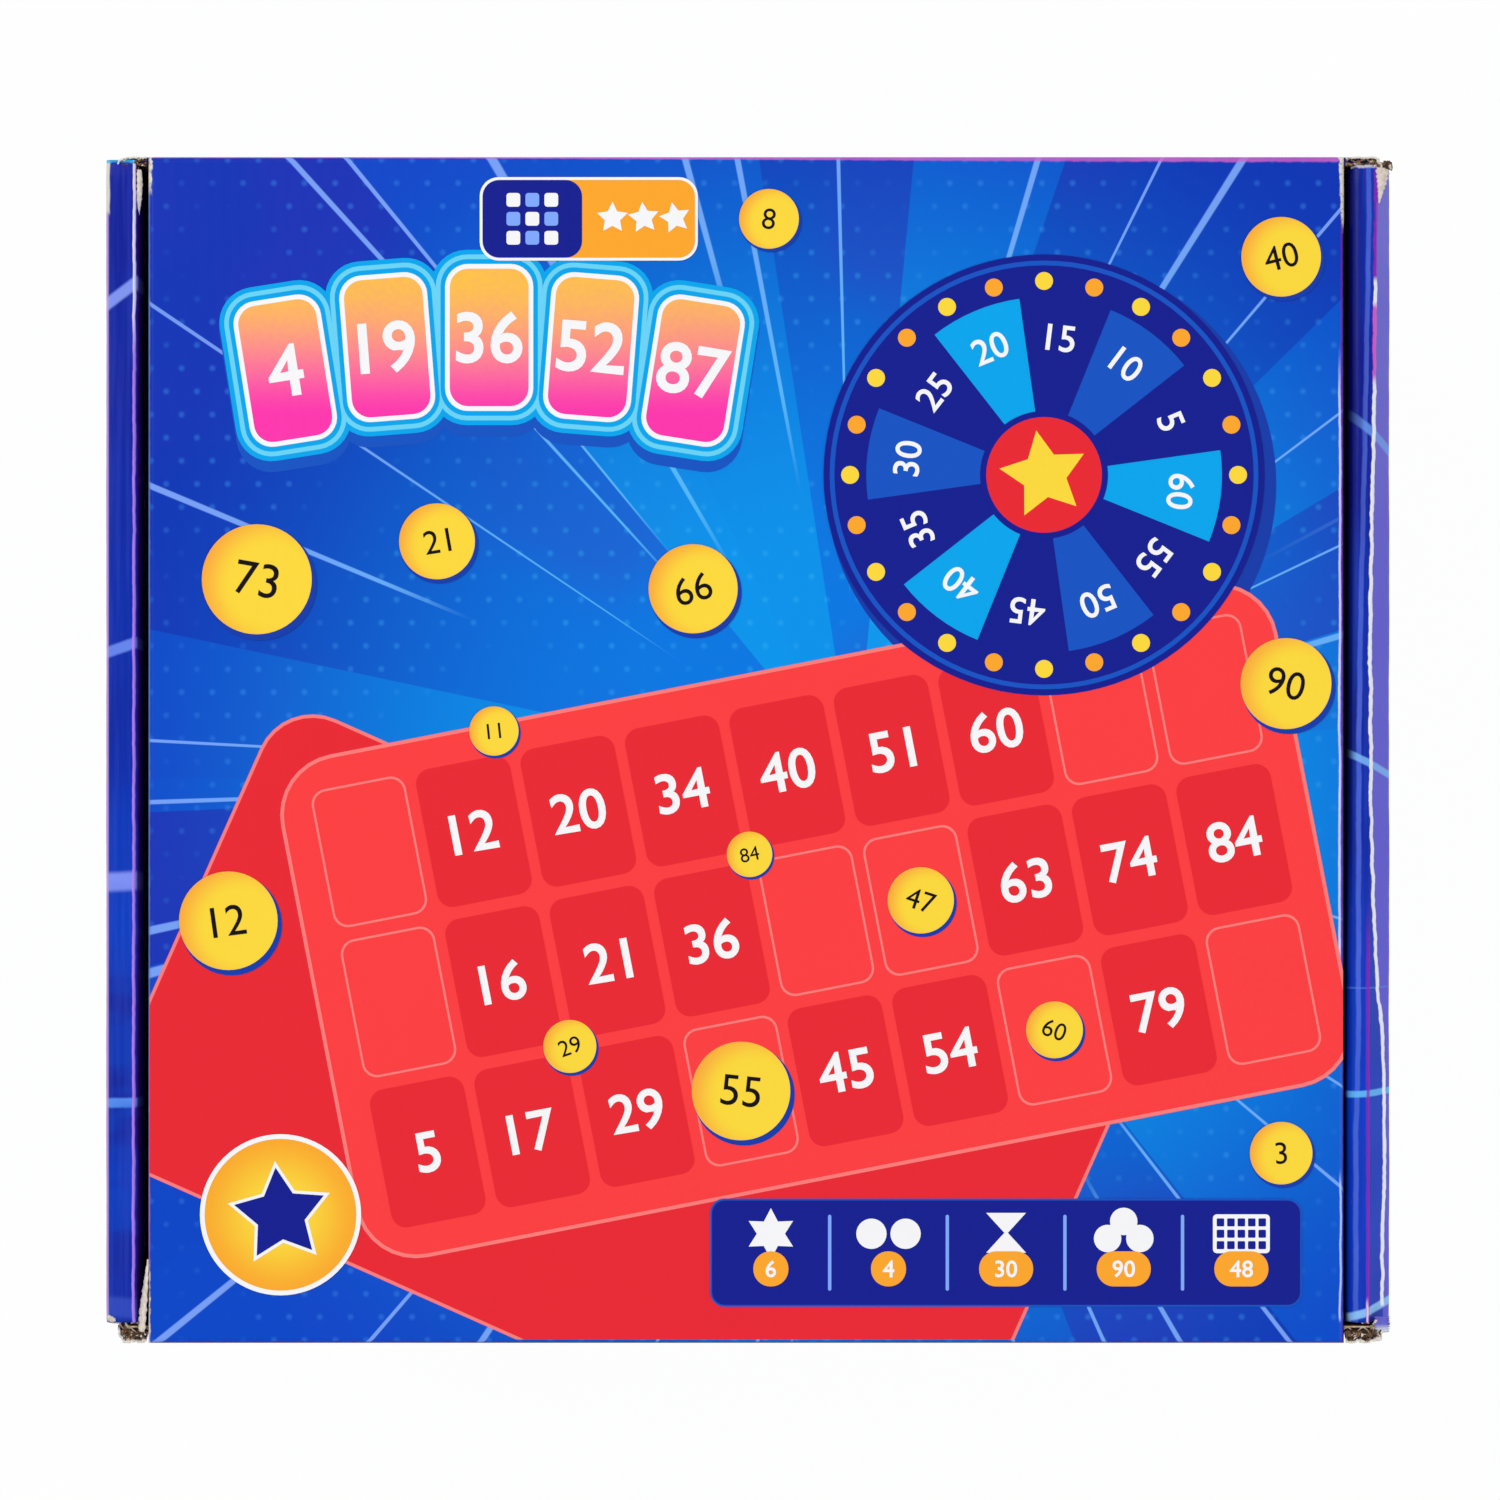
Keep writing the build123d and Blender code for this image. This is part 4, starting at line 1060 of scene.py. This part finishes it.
# Where lines run along the right roll: (y, x) points
CREASE = ((-120.8, 130.3), (-63, 130.3), (-31, 130.6), (0, 130.9), (30, 130.9), (63, 131.5), (124.5, 132.2))
RUB = ((-120.8, 134.1), (-105, 134.1), (-90, 134.6), (-63, 134.4), (-55, 133.4), (-45, 132.4),
       (-31, 131.6), (-10, 130.9), (30, 130.9), (63, 131.5), (124.5, 132.2))
# SHINE gives where the painted highlight along the right roll's bend runs
SHINE = ((-120, 127.8), (-80, 127.8), (-63, 128.3), (0, 128.4), (30, 128.8), (63, 129.6), (110, 130.5))
INSIDE = ((-120, 126.0), (-60, 126.1), (20, 126.3))
rolled_wall("right_wall_outer", 1,
            [(136.0, 1.6), (136.0, 134.9), (131.0, 141.86), (126.9, 141.86), (126.9, 137.6)], (1.5, 0.6, 2.9),
            ((0, 0), (0.15, 0.6), (0.15, 0.12), (0.0, 0.3), (0.0, 0)), (0.1, 0.1, 0.05), 11,
            {2: CREASE, 3: INSIDE, 4: INSIDE}, {"rub": RUB, "shine": SHINE})
rolled_wall("left_wall_outer", -1,
            [(136.0, 1.6), (136.0, 135.2), (135.95, 141.86), (129.9, 141.86), (128.3, 138.4)],
            (1.5, 1.1, 0.5), ((0, 0), (0.05, 0.5), (0.15, 0.12), (0.0, 0.12), (0.2, 0)),
            (0.1, 0.05, 0.05), 29,
            {3: ((-120, 130.0), (120, 129.8))}, {"rub": ((-120, 130.05), (120, 129.85))})

for name, side, end, seed in (
    ("left_hinge_corner", -1, 1, 3), ("right_hinge_corner", 1, 1, 8),
    ("left_front_corner", -1, -1, 14), ("right_front_corner", 1, -1, 21),
):
    crushed_corner(name, side, end, seed)

torn_strip("left_hinge_curl", 5, (0.5, 0, 0.86),
           [(-128.9, 122.4, 141.3), (-128.8, 119.5, 141.0), (-129.0, 116.0, 140.6), (-129.3, 112.6, 140.0)],
           (1.0, 1.2, 1.0, 0.3))
torn_strip("left_front_tear", 6, (0, -0.5, 0.86),
           [(-135.5, -119.4, 141.3), (-134.6, -120.3, 141.2), (-133.2, -120.9, 140.7)], (0.9, 1.5, 0.5))
torn_strip("right_hinge_tear", 7, (0.3, 0, 0.95),
           [(133.5, 122.8, 141.0), (133.3, 120.2, 140.95), (133.0, 117.6, 140.95), (132.7, 115.4, 141.15)],
           (3.1, 2.3, 1.1, 0.2))
torn_strip("right_front_tear", 9, (0.4, -0.5, 0.77),
           [(131.6, -120.6, 141.2), (133.2, -121.2, 140.2), (135.2, -121.0, 137.8)], (1.0, 1.6, 0.8))
torn_strip("lid_left_scuff", 12, (-0.4, 0, 0.92),
           [(-127.0, -107.5, 141.0), (-127.5, -113.0, 141.1), (-128.1, -118.5, 141.0),
            (-128.4, -122.8, 140.7)], (0.3, 1.1, 1.7, 1.5), body="lid")
torn_strip("right_front_curl", 18, (0.1, 0, 0.99),
           [(133.4, -119.6, 140.9), (133.4, -121.2, 141.0), (133.5, -123.0, 140.5)], (2.9, 3.1, 2.7),
           ink("roll_end", printed(206, 212, 232), printed(92, 86, 204), -122.5, -120.9), curl=0.1)
torn_strip("right_hinge_nub", 15, (0.3, 0.2, 0.93),
           [(133.6, 123.6, 141.2), (134.9, 123.4, 141.2), (135.6, 122.6, 140.2)], (1.4, 1.8, 0.6),
           CRUSHED_FLUTES)


# The game's own nodes
cage_blue = plastic("cage_blue", srgb(10, 64, 200), srgb(6, 48, 172), 0.25)
for node in ("left_leg", "right_leg", "left_cage_band", "right_cage_band", "left_cage_bars",
             "right_cage_bars", "left_cage_hub", "right_cage_hub", "cage_clips", "ball_spout", "crank"):
    dress(node, cage_blue)
dress("number_tray", plastic("tray_red", srgb(242, 46, 50), srgb(228, 30, 38), 0.2))
dress("crank_knob", plastic("knob_red", srgb(236, 36, 40), srgb(214, 24, 30), 0.16))
dress("knob_pin", brushed_steel("pin_steel"))
dress("numbered_balls", plastic("ball_yellow", srgb(255, 216, 88), srgb(253, 188, 66), 0.3, coat=0.1))
dress("bingo_cards", card_look("card_stock"))
dress("card_band", paper_look("band_paper", srgb(222, 206, 178), srgb(184, 162, 130), 0.35))
dress("instruction_sheet", paper_look("sheet_paper", srgb(246, 245, 240), srgb(222, 220, 214), 0.2))


def print_tray():
    """White numbers from 1 to 90 beside the tray's pockets, in the pockets' own order."""
    low, _ = box_mm("number_tray")
    page = Print("tray_numbers", low.z + 10.0)
    white = plastic("tray_white", srgb(248, 240, 240), srgb(236, 226, 226), 0.35)
    columns = [-21.0 - 21.5 * k for k in (4, 3, 2, 1, 0)] + [21.0 + 21.5 * k for k in range(5)]
    for row in range(9):
        for column, x in enumerate(columns):
            y = low.y + 9.5 + 17.0 * (8 - row)
            page.figures(10 * row + column + 1, (x, y), 2.9, 0, white, weight=0.017)
    page.build("carton", "tray_plastic")


def fine_glyph(text):
    """A number's outline cut into small triangles, so that it can follow a ball."""
    points, faces = glyph(text, 0.01)
    work = bmesh.new()
    made = [work.verts.new((x, y, 0)) for x, y in points]
    for face in faces:
        work.faces.new([made[i] for i in face])
    for _ in range(4):
        long_edges = [e for e in work.edges if e.calc_length() > 0.14]
        if not long_edges:
            break
        bmesh.ops.subdivide_edges(work, edges=long_edges, cuts=1)
        bmesh.ops.triangulate(work, faces=work.faces[:])
    work.verts.index_update()
    fine = [tuple(v.co[:2]) for v in work.verts], [tuple(v.index for v in f.verts) for f in work.faces]
    work.free()
    return fine


def ball_places(radius):
    """The middle of each ball, found from where its surface faces."""
    mesh = nodes["numbered_balls"].data
    count = len(mesh.vertices)
    spots, facing = np.zeros(count * 3), np.zeros(count * 3)
    mesh.vertices.foreach_get("co", spots)
    mesh.vertices.foreach_get("normal", facing)
    guesses = spots.reshape(-1, 3) / MM - facing.reshape(-1, 3) * radius
    middles, sums = [], []
    for guess in guesses[::5]:
        if middles:
            off = np.linalg.norm(np.array(middles) - guess, axis=1)
            nearest = int(off.argmin())
            if off[nearest] < radius:
                sums[nearest].append(guess)
                continue
        middles.append(guess)
        sums.append([guess])
    return [np.median(np.array(group), axis=0) for group in sums]


def print_balls():
    """Each ball's number, twice, on opposite sides of it."""
    radius = 6.25
    chooser = random.Random(12)
    points, faces = [], []
    for number, middle in enumerate(ball_places(radius), start=1):
        shape, triangles = fine_glyph(str(number))
        size = 4.6 if number > 9 else 5.4
        up = (chooser.uniform(-1, 1), chooser.uniform(-1.2, 0.6), chooser.uniform(0.1, 1.3))
        for direction in (Vector(up).normalized(), -Vector(up).normalized()):
            spin = Matrix.Rotation(chooser.uniform(0, TAU), 3, "Z")
            spin = direction.to_track_quat("Z", "Y").to_matrix() @ spin
            start = len(points)
            for x, y in shape:
                x, y = x * size, y * size
                arm = spin @ Vector((x, y, math.sqrt(max(0.0, radius ** 2 - x * x - y * y))))
                points.append(Vector(middle) + arm * ((radius + 0.03) / radius))
            faces += [tuple(start + i for i in t) for t in triangles]
    black = plastic("ball_black", srgb(24, 22, 26), srgb(34, 30, 34), 0.35)
    mesh_piece("ball_numbers", points, faces, [black], "carton")


def page_on(node, name):
    """A page on top of a node, and the middle of it."""
    low, high = box_mm(node)
    return Print(name, high.z - 0.01), ((low.x + high.x) / 2, (low.y + high.y) / 2)


def print_cards():
    """The top card: a plain number grid under a blue bar."""
    page, (middle_x, middle_y) = page_on("bingo_cards", "card_print")
    page.shape(rounded(105, 75, 2.4), (middle_x, middle_y), 0, "navy")
    page.shape(rounded(104.2, 74.2, 2.1), (middle_x, middle_y), 1, "white")
    page.shape(rounded(102, 11, 1.6), (middle_x, middle_y + 30), 2, "royal")
    for i in range(11):
        page.shape(disc(2.4, 24), (middle_x - 45 + 9 * i, middle_y + 30), 3, "amber" if i % 2 else "yellow")
    shuffle = random.Random(31)
    for row in range(3):
        filled = set(shuffle.sample(range(9), 5))
        for column in range(9):
            spot = (middle_x + (column - 4) * 11.4, middle_y + 13.5 - row * 19.0)
            page.shape(rounded(10.8, 18.2, 0.8, 3), spot, 2, "navy")
            page.shape(rounded(10.2, 17.6, 0.7, 3), spot, 3, "white" if column in filled else "pale_red")
            if column in filled:
                page.figures(10 * column + shuffle.randint(1, 9), spot, 5.4, 4, "navy", weight=0.01)
    page.build("carton", "card_stock")


def print_sheet():
    """The folded sheet's front: a bar, three small figures and grey rules in place of text."""
    page, middle = page_on("instruction_sheet", "sheet_print")

    def put(outline, x, y, layer, name):
        page.shape(placed(outline, (x, y)), middle, layer, name, 9.0)

    put(rounded(50, 4.6, 0.6, 3), 0, 15.4, 0, "royal")
    for i in range(3):
        put(rounded(14.4, 10.6, 0.9, 3), -17.6 + 17.6 * i, 5.8, 0, "pale_blue")
        put(disc(3.4, 28), -17.6 + 17.6 * i, 5.8, 1, "red" if i == 1 else "amber")
    chooser = random.Random(2)
    for column in (-13.2, 13.2):
        for line in range(8):
            width = 23.6 if line % 4 else chooser.uniform(12, 19)
            put(rounded(width, 0.7, 0.2, 2), column - (23.6 - width) / 2, -3.2 - 1.9 * line, 0, "grey")
    page.build("carton", "sheet_paper")


for make_print in (print_lid, print_tray, print_balls, print_cards, print_sheet):
    make_print()


# Stage: a pale floor under a white surround, soft lamps, and the camera over the lid
def show_white(tree, share, lit, white, output):
    """Shows that share of plain white to the camera, and to what mirrors the surface. It lights nothing."""
    stage = Nodes(tree)
    path = stage.add("ShaderNodeLightPath")
    seen = path.outputs["Is Camera Ray"]
    for ray in ("Is Glossy Ray", "Is Transmission Ray"):
        seen = stage.math("MAXIMUM", seen, path.outputs[ray])
    both = stage.add("ShaderNodeMixShader")
    for socket, value in zip(both.inputs, (seen * share, lit.outputs[0], white.outputs[0])):
        stage.feed(socket, value)
    stage.feed(tree.nodes[output].inputs["Surface"], both.outputs[0])


FLOOR_REACH = 3.0
floor_mesh = bpy.data.meshes.new("floor")
floor_mesh.from_pydata(
    [(sx * FLOOR_REACH, sy * FLOOR_REACH, 0) for sx, sy in ((-1, -1), (1, -1), (1, 1), (-1, 1))],
    [], [(0, 1, 2, 3)])
floor = bpy.data.objects.new("floor", floor_mesh)
floor.location.z = -0.0002
bpy.context.scene.collection.objects.link(floor)
floor_look = bpy.data.materials.new("floor_white")
floor_look.use_nodes = True
tree = floor_look.node_tree
surface = tree.nodes["Principled BSDF"]
surface.inputs["Base Color"].default_value = (0.9, 0.9, 0.9, 1)
surface.inputs["Roughness"].default_value = 0.9
show_white(tree, 0.97, surface, tree.nodes.new("ShaderNodeEmission"), "Material Output")
floor_mesh.materials.append(floor_look)

world = bpy.data.worlds.new("studio")
world.use_nodes = True
bpy.context.scene.world = world
tree = world.node_tree
soft = tree.nodes["Background"]
soft.inputs["Strength"].default_value = 0.52
bright = tree.nodes.new("ShaderNodeBackground")
soft.inputs["Color"].default_value = bright.inputs["Color"].default_value = (1, 1, 1, 1)
show_white(tree, 1.0, soft, bright, "World Output")


def lamp(name, place, power, size):
    data = bpy.data.lights.new(name, "AREA")
    data.energy = power
    data.size = size
    holder = bpy.data.objects.new(name, data)
    holder.location = place
    holder.rotation_euler = (Vector((0, 0, 0.1)) - Vector(place)).to_track_quat("-Z", "Y").to_euler()
    bpy.context.scene.collection.objects.link(holder)


lamp("key_lamp", (-0.9, 0.7, 1.3), 11.5, 0.9)
lamp("fill_lamp", (1.0, -0.6, 1.2), 7.0, 0.9)

camera_data = bpy.data.cameras.new("camera")
camera_data.lens = 100.0
camera_data.sensor_width = 36.0
camera = bpy.data.objects.new("camera", camera_data)
FRAME_WIDTH = 316.35
camera.location = (0.0, 0.0, (TOP + FRAME_WIDTH * camera_data.lens / camera_data.sensor_width) * MM)
camera.rotation_euler = (0.0, 0.0, 0.0)
bpy.context.scene.collection.objects.link(camera)
bpy.context.scene.camera = camera

bpy.context.scene.view_settings.view_transform = "Standard"

bpy.context.view_layer.update()
